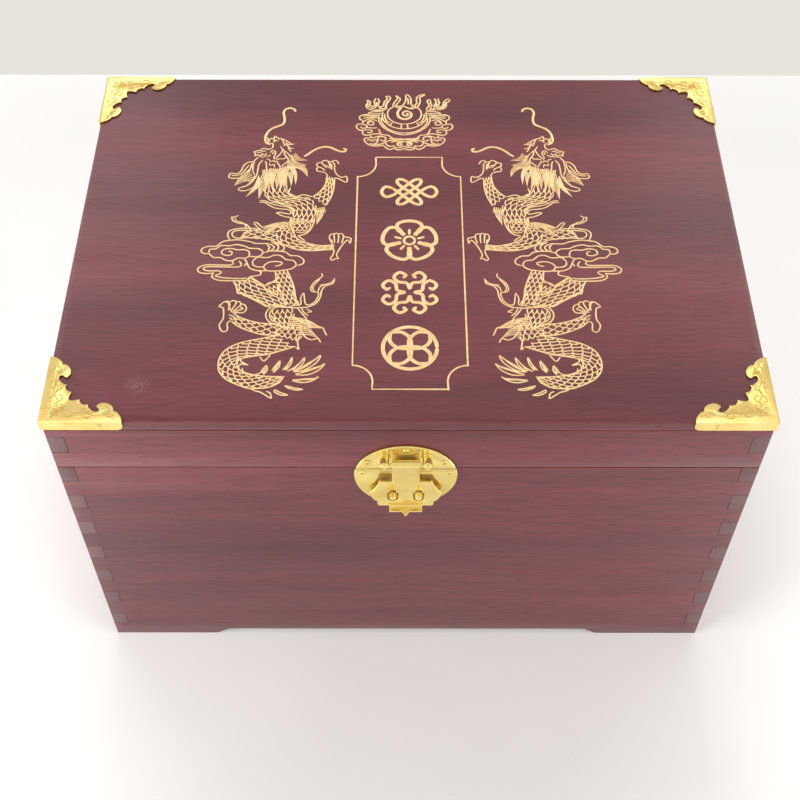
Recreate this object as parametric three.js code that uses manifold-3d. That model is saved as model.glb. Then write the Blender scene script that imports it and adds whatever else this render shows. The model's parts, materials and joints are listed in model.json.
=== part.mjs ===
// Camphor wood genealogy chest, in millimetres, +Z up.
// The origin is on the ground under the middle of the whole object. The front faces -Y.
// The box is four finger-jointed boards round a loose bottom panel. The lid is a finger-jointed
// frame under a flat top board. It turns on two stop hinges and is held by a hasp and two studs.

import * as THREE from 'three';
import { mergeVertices } from 'three/addons/utils/BufferGeometryUtils.js';
import Module from 'manifold-3d';

const wasm = await Module();
wasm.setup();

// Box
const chestWidth = 450;
const chestDepth = 320;
const chestHeight = 280;
const boardThickness = 11;
const topThickness = 9;
const topEdgeRound = 0.8;
const fingerCount = 17;
const lidFingerCount = 3;
const footLength = 76;
const footRise = 7;
const footRampLength = 13;
const bottomThickness = 7;
const bottomLift = 13;
const grooveDepth = 5;

// Clearances
const fitGap = 0.3;
const seamGap = 0.5;
const turningGap = 0.3;

// Corner caps
const capLeg = 50;
const capFlangeHeight = 7;
const capFlangeEndRadius = 4;
const capSheet = 0.9;
const capNailHeadRadius = 1.7;
const capNailHeadHeight = 0.9;
const capNailShankRadius = 0.6;
const capNailShankLength = 7;
const capFlangeNailReach = 36;
const capNailReach = 38.7;
const capNailInset = 6.4;
const capCornerNailInset = 8.8;

// Latch
const latchOffset = -1.5;
const plateRadius = 33.4;
const plateDrop = 8.3;
const plateThickness = 1.5;
const plateBevel = 0.7;
const plateSeamGap = 1;
const postSpacing = 27.4;
const postRise = 14;
const postRadius = 3.2;
const postReach = 10.2;
const postShankRadius = 1.5;
const pinReach = 7;
const pinRadius = 1;
const studSpacing = 16.8;
const studDrop = 21.9;
const studRadius = 2.3;
const studReach = 10.5;
const studHoleRadius = 1.1;
const studHoleReach = 8;
const studShankRadius = 1.4;
const collarHeight = 0.7;
const collarMargin = 0.7;
const shankDepth = 8;
const plateScrewHeadRadius = 2.3;
const plateScrewHeadHeight = 1;
const screwShankRadius = 1.1;
const upperScrewSpots = [[-24.4, 8.2], [0, 21.2], [24.4, 8.2]];
const lowerScrewSpots = [[-28, -3.2], [28, -3.2]];

// Hasp
const haspThickness = 1.4;
const rollRadius = 2.8;
const neckWidth = 17.8;
const shoulderDrop = 9.2;
const shoulderWidth = 34;
const shoulderCusp = 1.3;
const wingWidth = 47;
const wingDrop = 22.2;
const haspFootWidth = 37;
const haspFootDrop = 36.9;
const haspFootRise = 5.2;
const haspCornerRadius = 2;
const windowWidth = 7.2;
const windowHeight = 13;
const windowDrop = 24.6;
const lipWidth = 21.8;
const lipReach = 9.6;
const lipBend = 1.6;
const lipPointWidth = 5.6;
const lipPointLength = 3;

// Hinges
const hingeSpacing = 260;
const hingeWidth = 40;
const hingeKnuckleCount = 5;
const knuckleRadius = 3;
const hingePinRadius = 1.2;
const leafThickness = 1.6;
const leafDepth = 8.5;
const openAngle = 95;
const stopSlack = 1.5;
const stopReach = 8.5;
const stopThickness = 1.5;
const hingeScrewSpacing = 13;
const hingeScrewHeadRadius = 2.4;
const hingeScrewLength = 9;

// Sides of the round pieces
const fineSides = 20;
const plainSides = 12;
const smallSides = 8;

// Worked out from the sizes above
const fingerPitch = chestHeight / fingerCount;
const seamHeight = fingerPitch * (fingerCount - lidFingerCount);
const boxTop = seamHeight - seamGap / 2;
const lidBottom = seamHeight + seamGap / 2;
const railTop = chestHeight - topThickness - fitGap;
const capOutside = fitGap + capSheet;
const hingeSetback = knuckleRadius + turningGap;
const haspBack = pinReach - rollRadius;
const haspFront = haspBack + haspThickness;
const stopAngle = THREE.MathUtils.degToRad(openAngle / 2);
const frontReach = Math.max(lipReach + lipPointLength, postReach, studReach);
const backReach = hingeSetback + Math.max(knuckleRadius, stopReach * Math.cos(stopAngle));
const turnToFront = Math.PI / 2;

// Finishes
const stainedWood = { color: 0x6b3a3c, roughness: 0.45, metalness: 0 };
const plainWood = { color: 0xb98a5a, roughness: 0.7, metalness: 0 };
const polishedBrass = { color: 0xe2bf62, roughness: 0.2, metalness: 1 };

// Solids
function toSolid(geometry) {
  const bare = geometry.clone();
  bare.deleteAttribute('normal');
  bare.deleteAttribute('uv');
  const merged = mergeVertices(bare, 1e-5);
  const vertProperties = Float32Array.from(merged.attributes.position.array);
  const triVerts = Uint32Array.from(merged.index.array);
  return new wasm.Manifold(new wasm.Mesh({ numProp: 3, vertProperties, triVerts }));
}

function toGeometry(solid) {
  const { vertProperties, triVerts } = solid.getMesh();
  const geometry = new THREE.BufferGeometry();
  geometry.setAttribute('position', new THREE.BufferAttribute(vertProperties, 3));
  geometry.setIndex(new THREE.BufferAttribute(triVerts, 1));
  const faceted = geometry.toNonIndexed();
  faceted.computeVertexNormals();
  return faceted;
}

function joinAll(geometries) {
  return geometries.map(toSolid).reduce((joined, solid) => joined.add(solid));
}

function cutAll(solid, geometries) {
  return geometries.map(toSolid).reduce((left, cutter) => left.subtract(cutter), solid);
}

function addPart(parent, name, solid, finish) {
  const mesh = new THREE.Mesh(toGeometry(solid), new THREE.MeshStandardMaterial(finish));
  mesh.name = name;
  parent.add(mesh);
  return mesh;
}

// Basic forms
function block(xs, ys, zs) {
  const size = [xs, ys, zs].map(([low, high]) => high - low);
  const middle = [xs, ys, zs].map(([low, high]) => (high + low) / 2);
  return new THREE.BoxGeometry(...size).translate(...middle);
}

function rodAlongX(radius, xs, y, z, sides) {
  const rod = new THREE.CylinderGeometry(radius, radius, xs[1] - xs[0], sides);
  return rod.rotateZ(Math.PI / 2).translate((xs[0] + xs[1]) / 2, y, z);
}

function rodAlongY(radius, x, ys, z, sides) {
  const rod = new THREE.CylinderGeometry(radius, radius, ys[1] - ys[0], sides);
  return rod.translate(x, (ys[0] + ys[1]) / 2, z);
}

function turned(profile, sides) {
  const points = profile.map(([radius, height]) => new THREE.Vector2(radius, height));
  return new THREE.LatheGeometry(points, sides);
}

// A flat shape drawn as seen from the front, standing out from the front face towards -Y.
function standingOut(shape, near, far) {
  const settings = { depth: far - near, bevelEnabled: false, curveSegments: 8 };
  return new THREE.ExtrudeGeometry(shape, settings).rotateX(turnToFront).translate(0, -near, 0);
}

// The same with its front edge bevelled.
function bevelledOut(shape, near, far, bevel, curveSegments) {
  const settings = {
    depth: far - near - bevel,
    bevelThickness: bevel,
    bevelSize: bevel,
    bevelOffset: -bevel,
    bevelSegments: 1,
    curveSegments,
  };
  const plate = new THREE.ExtrudeGeometry(shape, settings).rotateX(turnToFront);
  const reach = 4 * plateRadius;
  const behind = block([-reach, reach], [0, reach], [-reach, reach]);
  return toGeometry(cutAll(toSolid(plate), [behind])).translate(0, -near, 0);
}

// A domed pin standing out from the front, with a shank in the wood and a collar on the plate.
function domedPin(radius, reach, shankRadius) {
  const domeHeight = radius * 0.7;
  const dome = [0.3, 0.6, 0.85].map((part) => [
    radius * Math.cos(part * Math.PI / 2),
    reach - domeHeight * (1 - Math.sin(part * Math.PI / 2)),
  ]);
  const seat = plateThickness + fitGap;
  const profile = [
    [0, -shankDepth],
    [shankRadius, -shankDepth],
    [shankRadius, seat],
    [radius + collarMargin, seat],
    [radius + collarMargin, seat + collarHeight],
    [radius, seat + collarHeight],
    [radius, reach - domeHeight],
    ...dome,
    [0, reach],
  ];
  return turned(profile, fineSides);
}

// Finger-jointed boards
// A board lies along X with its outer face at y = 0 and its inner face at y = boardThickness.
// Front and back boards have the odd fingers, counted from the ground up, and side boards the even.
const hasOddFingers = (slot) => slot % 2 === 0;
const hasEvenFingers = (slot) => slot % 2 === 1;

function fingerEdge(low, high, hasFinger) {
  const edge = [];
  for (let slot = 0; slot < fingerCount; slot += 1) {
    const slotLow = slot * fingerPitch;
    const slotHigh = slotLow + fingerPitch;
    if (slotHigh <= low + fitGap || slotLow >= high - fitGap) continue;
    const slack = hasFinger(slot) ? -fitGap / 2 : fitGap / 2;
    const inset = hasFinger(slot) ? 0 : boardThickness + fitGap;
    const start = edge.length === 0 ? low : slotLow - slack;
    const end = slotHigh >= high - fitGap ? high : slotHigh + slack;
    edge.push([inset, start], [inset, end]);
  }
  return edge;
}

function boardShape(length, low, high, hasFinger, footed) {
  const half = length / 2;
  const edge = fingerEdge(low, high, hasFinger);
  const shape = new THREE.Shape();
  shape.moveTo(-(half - edge[0][0]), low);
  if (footed) {
    const heel = half - footLength;
    const crown = heel - footRampLength;
    const middle = (heel + crown) / 2;
    shape.lineTo(-heel, low);
    shape.bezierCurveTo(-middle, low, -middle, low + footRise, -crown, low + footRise);
    shape.lineTo(crown, low + footRise);
    shape.bezierCurveTo(middle, low + footRise, middle, low, heel, low);
  }
  for (const [inset, z] of edge) shape.lineTo(half - inset, z);
  for (const [inset, z] of edge.toReversed()) shape.lineTo(-(half - inset), z);
  return shape;
}

function fingerBoard(length, low, high, hasFinger, footed) {
  const shape = boardShape(length, low, high, hasFinger, footed);
  const settings = { depth: boardThickness, bevelEnabled: false, curveSegments: 6 };
  const board = new THREE.ExtrudeGeometry(shape, settings).rotateX(turnToFront);
  return toSolid(board.translate(0, boardThickness, 0));
}

function panelGroove(length) {
  const half = length / 2 - boardThickness;
  const top = bottomLift + bottomThickness + fitGap;
  const inside = [boardThickness - grooveDepth, boardThickness + fitGap];
  return block([-half, half], inside, [bottomLift - fitGap, top]);
}

// Holes for the latch, in the board under each plate
function latchHoles(screwSpots, pinSpacing, pinHeight, shankRadius) {
  const depth = shankDepth + fitGap;
  const holes = screwSpots.map(([x, z]) => {
    const radius = screwShankRadius + fitGap;
    return rodAlongY(radius, latchOffset + x, [-fitGap, depth], seamHeight + z, smallSides);
  });
  for (const side of [-1, 1]) {
    const x = latchOffset + side * pinSpacing / 2;
    const z = seamHeight + pinHeight;
    holes.push(rodAlongY(shankRadius + fitGap, x, [-fitGap, depth], z, smallSides));
  }
  return holes;
}

// Mortises and screw holes for the hinges, in the rim of the back board and of the lid's back rail
function hingeCuts(side) {
  const cuts = [];
  const rim = seamHeight + side * seamGap / 2;
  for (const x of [-hingeSpacing / 2, hingeSpacing / 2]) {
    const half = hingeWidth / 2 + fitGap;
    const levels = [rim - side * fitGap, rim + side * (leafThickness + fitGap)];
    const span = [Math.min(...levels), Math.max(...levels)];
    cuts.push(block([x - half, x + half], [-fitGap, leafDepth + fitGap], span));
    for (const step of [-1, 0, 1]) {
      const depth = hingeScrewLength + fitGap;
      const radius = screwShankRadius + fitGap;
      const hole = new THREE.CylinderGeometry(radius, radius, depth, smallSides);
      const middle = rim + side * (depth / 2);
      hole.rotateX(turnToFront);
      cuts.push(hole.translate(x + step * hingeScrewSpacing, leafDepth / 2, middle));
    }
  }
  return cuts;
}

// The lid's corners: name, side in X, side in Y and the turn of the cap there
const corners = [
  ['front_left', -1, -1, 0],
  ['front_right', 1, -1, Math.PI / 2],
  ['back_right', 1, 1, Math.PI],
  ['back_left', -1, 1, -Math.PI / 2],
];

function placeAtCorner(geometry, [, sideX, sideY, turn]) {
  geometry.rotateZ(turn);
  return geometry.translate(sideX * chestWidth / 2, sideY * chestDepth / 2, 0);
}

// The places of a cap's nails, as moves of a nail that points along +Y
function capNailPlaces() {
  const spots = [
    [capCornerNailInset, capCornerNailInset],
    [capNailReach, capNailInset],
    [capNailInset, capNailReach],
  ];
  const top = spots.map(([x, y]) => {
    return (nail) => nail.rotateX(turnToFront).translate(x, y, capOutside);
  });
  const middle = capOutside - (capFlangeHeight + capOutside) / 2;
  const front = (nail) => nail.rotateX(Math.PI).translate(capFlangeNailReach, -capOutside, middle);
  const end = (nail) => nail.rotateZ(Math.PI / 2).translate(-capOutside, capFlangeNailReach, middle);
  return [...top, front, end];
}

// A cap's nails are driven tight through its sheet, so they are one solid with the cap.
function capNail() {
  const sink = -capSheet / 2;
  const head = [0, 0.35, 0.7].map((part) => [
    capNailHeadRadius * Math.cos(part * Math.PI / 2),
    capNailHeadHeight * Math.sin(part * Math.PI / 2),
  ]);
  const shank = capNailShankRadius;
  return turned([
    [0, -capNailShankLength],
    [shank, -capNailShankLength + shank],
    [shank, sink],
    [capNailHeadRadius, sink],
    ...head,
    [0, capNailHeadHeight],
  ], smallSides);
}

function capNailHole() {
  const length = capNailShankLength + capOutside;
  const radius = capNailShankRadius + fitGap;
  const hole = new THREE.CylinderGeometry(radius, radius, length, smallSides);
  return hole.translate(0, capOutside - length / 2, 0);
}

// Box boards
function makeBox(chest) {
  const upright = [0, boxTop];
  const front = cutAll(
    fingerBoard(chestWidth, ...upright, hasOddFingers, true),
    [panelGroove(chestWidth), ...latchHoles(lowerScrewSpots, studSpacing, -studDrop, studShankRadius)],
  );
  const back = cutAll(
    fingerBoard(chestWidth, ...upright, hasOddFingers, true),
    [panelGroove(chestWidth), ...hingeCuts(-1)],
  );
  const end = cutAll(
    fingerBoard(chestDepth, ...upright, hasEvenFingers, true),
    [panelGroove(chestDepth)],
  );
  addPart(chest, 'front_board', front, stainedWood).position.set(0, -chestDepth / 2, 0);
  const backMesh = addPart(chest, 'back_board', back, stainedWood);
  backMesh.position.set(0, chestDepth / 2, 0);
  backMesh.rotation.z = Math.PI;
  const left = addPart(chest, 'left_board', end, stainedWood);
  left.position.set(-chestWidth / 2, 0, 0);
  left.rotation.z = -Math.PI / 2;
  const right = addPart(chest, 'right_board', end, stainedWood);
  right.position.set(chestWidth / 2, 0, 0);
  right.rotation.z = Math.PI / 2;
}

// The loose bottom panel: a tongue on each side stops short of the box's corners.
function makeBottomPanel(chest) {
  const insideX = chestWidth / 2 - boardThickness;
  const insideY = chestDepth / 2 - boardThickness;
  const tongue = grooveDepth - fitGap;
  const levels = [bottomLift, bottomLift + bottomThickness];
  const long = [-insideX - tongue, insideX + tongue];
  const wide = [-insideY - tongue, insideY + tongue];
  const panel = joinAll([
    block(long, [-insideY + fitGap, insideY - fitGap], levels),
    block([-insideX + fitGap, insideX - fitGap], wide, levels),
  ]);
  addPart(chest, 'bottom_panel', panel, plainWood);
}

// Lid frame and top board
function makeLidFrame(chest) {
  const upright = [lidBottom, railTop];
  const front = cutAll(
    fingerBoard(chestWidth, ...upright, hasOddFingers, false),
    latchHoles(upperScrewSpots, postSpacing, postRise, postShankRadius),
  );
  const back = cutAll(fingerBoard(chestWidth, ...upright, hasOddFingers, false), hingeCuts(1));
  const end = fingerBoard(chestDepth, ...upright, hasEvenFingers, false);
  addPart(chest, 'lid_front_rail', front, stainedWood).position.set(0, -chestDepth / 2, 0);
  const backMesh = addPart(chest, 'lid_back_rail', back, stainedWood);
  backMesh.position.set(0, chestDepth / 2, 0);
  backMesh.rotation.z = Math.PI;
  const left = addPart(chest, 'lid_left_rail', end, stainedWood);
  left.position.set(-chestWidth / 2, 0, 0);
  left.rotation.z = -Math.PI / 2;
  const right = addPart(chest, 'lid_right_rail', end, stainedWood);
  right.position.set(chestWidth / 2, 0, 0);
  right.rotation.z = Math.PI / 2;
}

function makeTopBoard(chest) {
  const halfX = chestWidth / 2;
  const halfY = chestDepth / 2;
  const outline = new THREE.Shape();
  outline.moveTo(-halfX, -halfY);
  outline.lineTo(halfX, -halfY);
  outline.lineTo(halfX, halfY);
  outline.lineTo(-halfX, halfY);
  outline.closePath();
  const board = new THREE.ExtrudeGeometry(outline, {
    depth: topThickness - 2 * topEdgeRound,
    bevelThickness: topEdgeRound,
    bevelSize: topEdgeRound,
    bevelOffset: -topEdgeRound,
    bevelSegments: 2,
  });
  board.translate(0, 0, topEdgeRound - topThickness);
  const holes = corners.flatMap((corner) => {
    return capNailPlaces().map((place) => placeAtCorner(place(capNailHole()), corner));
  });
  const solid = cutAll(toSolid(board), holes);
  addPart(chest, 'lid_top_board', solid, stainedWood).position.set(0, 0, chestHeight);
}

// Corner caps
// A cap is drawn at its corner, with legs along +X and +Y and the wood's top face at z = 0. Its
// inner edge is a run of scallops that ends on each leg in a curled leaf, alike about the diagonal.
// Each row is a curve's control point and end point, as shares of the leg.
const capScallops = [
  [0.988, 0.068, 0.932, 0.124],
  [0.912, 0.144, 0.88, 0.148],
  [0.884, 0.22, 0.808, 0.258],
  [0.732, 0.292, 0.68, 0.248],
  [0.652, 0.218, 0.678, 0.2],
  [0.72, 0.172, 0.692, 0.138],
  [0.632, 0.112, 0.564, 0.208],
  [0.548, 0.24, 0.566, 0.252],
  [0.488, 0.212, 0.444, 0.296],
  [0.444, 0.32, 0.448, 0.328],
];
const capMiddle = [0.328, 0.288, 0.316, 0.316];

function capShape() {
  const stretch = (share) => share * capLeg;
  const shape = new THREE.Shape();
  shape.moveTo(-capOutside, -capOutside);
  shape.lineTo(capLeg, -capOutside);
  shape.lineTo(capLeg, 0);
  for (const [cx, cy, x, y] of capScallops) {
    shape.quadraticCurveTo(stretch(cx), stretch(cy), stretch(x), stretch(y));
  }
  const [cx, cy, x, y] = capMiddle.map(stretch);
  shape.quadraticCurveTo(cx, cy, x, y);
  let control = [cy, cx];
  for (const scallop of capScallops.toReversed()) {
    const [controlX, controlY, endX, endY] = scallop.map(stretch);
    shape.quadraticCurveTo(...control, endY, endX);
    control = [controlY, controlX];
  }
  shape.quadraticCurveTo(...control, 0, capLeg);
  shape.lineTo(-capOutside, capLeg);
  shape.closePath();
  return shape;
}

function capFlange() {
  const low = -capFlangeHeight;
  const shape = new THREE.Shape();
  shape.moveTo(-capOutside, low);
  shape.lineTo(capLeg - capFlangeEndRadius, low);
  shape.absarc(capLeg - capFlangeEndRadius, low + capFlangeEndRadius, capFlangeEndRadius,
    -Math.PI / 2, 0, false);
  shape.lineTo(capLeg, capOutside);
  shape.lineTo(-capOutside, capOutside);
  shape.closePath();
  return shape;
}

function makeCap() {
  const plate = new THREE.ExtrudeGeometry(capShape(), {
    depth: capSheet,
    bevelEnabled: false,
    curveSegments: 3,
  });
  plate.translate(0, 0, fitGap);
  const front = standingOut(capFlange(), fitGap, capOutside);
  const end = standingOut(capFlange(), -capOutside, -fitGap).rotateZ(Math.PI / 2);
  const nails = capNailPlaces().map((place) => place(capNail()));
  return joinAll([plate, front, end, ...nails]);
}

function makeCaps(chest) {
  const cap = makeCap();
  for (const [name, sideX, sideY, turn] of corners) {
    const mesh = addPart(chest, `corner_cap_${name}`, cap, polishedBrass);
    mesh.position.set(sideX * chestWidth / 2, sideY * chestDepth / 2, chestHeight);
    mesh.rotation.z = turn;
  }
}

// Latch plates, posts and studs, drawn from the front about the seam's middle
function plateShape(side) {
  const height = side * plateSeamGap / 2 + plateDrop;
  const rise = Math.asin(height / plateRadius);
  const shape = new THREE.Shape();
  if (side > 0) shape.absarc(0, -plateDrop, plateRadius, rise, Math.PI - rise, false);
  else shape.absarc(0, -plateDrop, plateRadius, Math.PI - rise, 2 * Math.PI + rise, false);
  shape.closePath();
  return shape;
}

function latchPlate(side, screwSpots, pinSpacing, pinHeight, shankRadius) {
  const segments = side > 0 ? 12 : 20;
  const plate = bevelledOut(plateShape(side), fitGap, fitGap + plateThickness, plateBevel, segments);
  const through = [-plateThickness - 2 * fitGap, 0];
  const holes = screwSpots.map(([x, z]) => {
    return rodAlongY(screwShankRadius + fitGap, x, through, z, smallSides);
  });
  for (const pinSide of [-1, 1]) {
    const x = pinSide * pinSpacing / 2;
    holes.push(rodAlongY(shankRadius + fitGap, x, through, pinHeight, plainSides));
  }
  return cutAll(toSolid(plate), holes);
}

function plateScrew() {
  const seat = plateThickness + fitGap;
  const lift = 0.1;
  const head = [0, 0.4, 0.75].map((part) => [
    plateScrewHeadRadius * Math.cos(part * Math.PI / 2),
    seat + lift + plateScrewHeadHeight * Math.sin(part * Math.PI / 2),
  ]);
  const screw = turned([
    [0, -shankDepth],
    [screwShankRadius, -shankDepth + screwShankRadius],
    [screwShankRadius, seat + lift],
    ...head,
    [0, seat + lift + plateScrewHeadHeight],
  ], plainSides);
  return toSolid(screw.rotateX(Math.PI));
}

function crossBored(pin, boreRadius, reach) {
  const half = 2 * postRadius;
  const bore = rodAlongX(boreRadius, [-half, half], -reach, 0, plainSides);
  return cutAll(toSolid(pin.rotateX(Math.PI)), [bore]);
}

// Hasp: a plate hung from a rolled knuckle, with two windows and a lip curled outwards
function haspShape() {
  const half = {
    neck: neckWidth / 2,
    shoulder: shoulderWidth / 2,
    wing: wingWidth / 2,
    foot: haspFootWidth / 2,
  };
  const footTop = -haspFootDrop + haspFootRise;
  const shape = new THREE.Shape();
  shape.moveTo(half.neck, postRise);
  shape.lineTo(half.neck, -shoulderDrop);
  shape.lineTo(half.shoulder - shoulderCusp, -shoulderDrop);
  shape.lineTo(half.shoulder, -shoulderDrop + shoulderCusp);
  shape.quadraticCurveTo(half.shoulder + shoulderCusp, (-shoulderDrop - wingDrop) / 2,
    half.wing, -wingDrop);
  shape.quadraticCurveTo(half.wing - shoulderCusp, footTop + shoulderCusp, half.foot, footTop);
  shape.lineTo(half.foot, -haspFootDrop + haspCornerRadius);
  shape.absarc(half.foot - haspCornerRadius, -haspFootDrop + haspCornerRadius, haspCornerRadius,
    0, -Math.PI / 2, true);
  shape.absarc(-half.foot + haspCornerRadius, -haspFootDrop + haspCornerRadius, haspCornerRadius,
    -Math.PI / 2, -Math.PI, true);
  shape.lineTo(-half.foot, footTop);
  shape.quadraticCurveTo(-half.wing + shoulderCusp, footTop + shoulderCusp, -half.wing, -wingDrop);
  shape.quadraticCurveTo(-half.shoulder - shoulderCusp, (-shoulderDrop - wingDrop) / 2,
    -half.shoulder, -shoulderDrop + shoulderCusp);
  shape.lineTo(-half.shoulder + shoulderCusp, -shoulderDrop);
  shape.lineTo(-half.neck, -shoulderDrop);
  shape.lineTo(-half.neck, postRise);
  shape.closePath();
  return shape;
}

function haspWindow(x) {
  const radius = windowWidth / 2;
  const reach = windowHeight / 2 - radius;
  const shape = new THREE.Shape();
  shape.absarc(x, -windowDrop + reach, radius, 0, Math.PI, false);
  shape.absarc(x, -windowDrop - reach, radius, Math.PI, 2 * Math.PI, false);
  shape.closePath();
  return standingOut(shape, haspBack - haspThickness, haspFront + haspThickness);
}

// The lip's section, drawn with the outward reach along +X and height along +Y
function lipSection() {
  const outer = lipBend + haspThickness;
  const centre = [haspBack + outer, -haspFootDrop - haspThickness + outer];
  const shape = new THREE.Shape();
  shape.moveTo(haspFront, centre[1] + haspThickness);
  shape.lineTo(haspBack, centre[1] + haspThickness);
  shape.absarc(...centre, outer, Math.PI, 1.5 * Math.PI, false);
  shape.lineTo(lipReach, centre[1] - outer);
  shape.lineTo(lipReach, centre[1] - lipBend);
  shape.absarc(...centre, lipBend, 1.5 * Math.PI, Math.PI, true);
  shape.closePath();
  return shape;
}

function haspLip() {
  const settings = { depth: lipWidth, bevelEnabled: false, curveSegments: 6 };
  const lip = new THREE.ExtrudeGeometry(lipSection(), settings).translate(0, 0, -lipWidth / 2);
  lip.rotateX(Math.PI / 2).rotateZ(-Math.PI / 2);
  return lip;
}

function haspPoint() {
  const shape = new THREE.Shape();
  shape.moveTo(-lipPointWidth / 2, 0);
  shape.lineTo(-lipPointWidth / 2, -lipBend);
  shape.lineTo(lipPointWidth / 2, -lipBend);
  shape.lineTo(lipPointWidth / 2, 0);
  shape.lineTo(lipPointWidth / 8, lipPointLength);
  shape.lineTo(-lipPointWidth / 8, lipPointLength);
  shape.closePath();
  const point = new THREE.ExtrudeGeometry(shape, { depth: haspThickness, bevelEnabled: false });
  const low = -haspFootDrop - haspThickness;
  return point.rotateX(Math.PI).translate(0, -lipReach, low + haspThickness);
}

function makeHasp() {
  const half = neckWidth / 2;
  const plate = bevelledOut(haspShape(), haspBack, haspFront, haspThickness / 4, 8);
  const roll = rodAlongX(rollRadius, [-half, half], -pinReach, postRise, fineSides);
  const through = [-half - turningGap, half + turningGap];
  const bore = rodAlongX(pinRadius + turningGap, through, -pinReach, postRise, plainSides);
  const body = joinAll([plate, roll, haspLip(), haspPoint()]);
  const windows = [-studSpacing / 2, studSpacing / 2].map(haspWindow);
  return cutAll(body, [bore, ...windows]);
}

function makeLatch(chest) {
  const latch = new THREE.Group();
  latch.position.set(latchOffset, -chestDepth / 2, seamHeight);
  chest.add(latch);
  const upper = latchPlate(1, upperScrewSpots, postSpacing, postRise, postShankRadius);
  const lower = latchPlate(-1, lowerScrewSpots, studSpacing, -studDrop, studShankRadius);
  addPart(latch, 'latch_upper_plate', upper, polishedBrass);
  addPart(latch, 'latch_lower_plate', lower, polishedBrass);
  const screws = [
    ...upperScrewSpots.map((spot, index) => [`latch_upper_screw_${index + 1}`, spot]),
    ...lowerScrewSpots.map((spot, index) => [`latch_lower_screw_${index + 1}`, spot]),
  ];
  for (const [name, [x, z]] of screws) {
    addPart(latch, name, plateScrew(), polishedBrass).position.set(x, 0, z);
  }
  for (const [name, side] of [['left', -1], ['right', 1]]) {
    const post = crossBored(domedPin(postRadius, postReach, postShankRadius), pinRadius + fitGap, pinReach);
    const stud = crossBored(domedPin(studRadius, studReach, studShankRadius), studHoleRadius, studHoleReach);
    addPart(latch, `latch_post_${name}`, post, polishedBrass)
      .position.set(side * postSpacing / 2, 0, postRise);
    addPart(latch, `latch_stud_${name}`, stud, polishedBrass)
      .position.set(side * studSpacing / 2, 0, -studDrop);
  }
  const pinEnd = postSpacing / 2 + postRadius - fitGap;
  const pin = toSolid(rodAlongX(pinRadius, [-pinEnd, pinEnd], -pinReach, postRise, plainSides));
  addPart(latch, 'latch_pin', pin, polishedBrass);
  addPart(latch, 'hasp', makeHasp(), polishedBrass);
}

// Stop hinges
// A hinge is drawn with its axis along X through the origin and the wood on its -Y side. The lower
// leaf has the outer knuckles. Each leaf has a stop tab behind the knuckles, and the two tabs meet
// when the lid is open.
function knuckleSpans(parity) {
  const length = hingeWidth / hingeKnuckleCount;
  const spans = [];
  for (let index = parity; index < hingeKnuckleCount; index += 2) {
    const start = -hingeWidth / 2 + index * length;
    const from = index === 0 ? start : start + turningGap / 2;
    const to = index === hingeKnuckleCount - 1 ? start + length : start + length - turningGap / 2;
    spans.push([from, to]);
  }
  return spans;
}

function stopTab(span, near, side) {
  const thick = side > 0 ? [0, stopThickness] : [-stopThickness, 0];
  const slack = side > 0 ? 0 : THREE.MathUtils.degToRad(stopSlack);
  return block(span, [near, stopReach], thick).rotateX(side * (stopAngle + slack));
}

function leafScrewPlaces() {
  const y = -hingeSetback - leafDepth / 2;
  return [-1, 0, 1].map((step) => [step * hingeScrewSpacing, y]);
}

// A countersunk form under the leaf's face. Where it cuts a seat, it also stands past that face.
function countersunk(headRadius, shankRadius, length, side, past = 0) {
  const rim = seamGap / 2;
  const profile = [
    [0, -rim - length],
    [shankRadius, -rim - length],
    [shankRadius, -rim - leafThickness],
    [headRadius, -rim],
  ];
  if (past > 0) profile.push([headRadius, past - rim]);
  profile.push([0, past - rim]);
  const screw = turned(profile, plainSides).rotateX(Math.PI / 2);
  return side > 0 ? screw.rotateX(Math.PI) : screw;
}

function hingeLeaf(side) {
  const half = hingeWidth / 2;
  const inner = side * seamGap / 2;
  const outer = side * (seamGap / 2 + leafThickness);
  const levels = [Math.min(inner, outer), Math.max(inner, outer)];
  const spans = knuckleSpans(side > 0 ? 1 : 0);
  const forms = [
    block([-half, half], [-hingeSetback - leafDepth, -hingeSetback], levels),
    stopTab([-half, half], knuckleRadius + 2 * turningGap, side),
  ];
  for (const span of spans) {
    forms.push(rodAlongX(knuckleRadius, span, 0, 0, fineSides));
    forms.push(block(span, [-hingeSetback - leafThickness, 0], levels));
    forms.push(stopTab(span, hingePinRadius, side));
  }
  const reach = hingeWidth;
  const bore = rodAlongX(hingePinRadius + turningGap, [-reach, reach], 0, 0, plainSides);
  const seats = leafScrewPlaces().map(([x, y]) => {
    const seat = countersunk(hingeScrewHeadRadius + fitGap, screwShankRadius + fitGap,
      leafThickness + fitGap, side, fitGap);
    return seat.translate(x, y, 0);
  });
  return cutAll(joinAll(forms), [bore, ...seats]);
}

function addHingeScrews(hinge, name) {
  for (const [leaf, side] of [['lower', -1], ['upper', 1]]) {
    leafScrewPlaces().forEach(([x, y], index) => {
      const screw = countersunk(hingeScrewHeadRadius, screwShankRadius, hingeScrewLength, side);
      const mesh = addPart(hinge, `hinge_${leaf}_screw_${name}_${index + 1}`, toSolid(screw), polishedBrass);
      mesh.position.set(x, y, 0);
    });
  }
}

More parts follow.
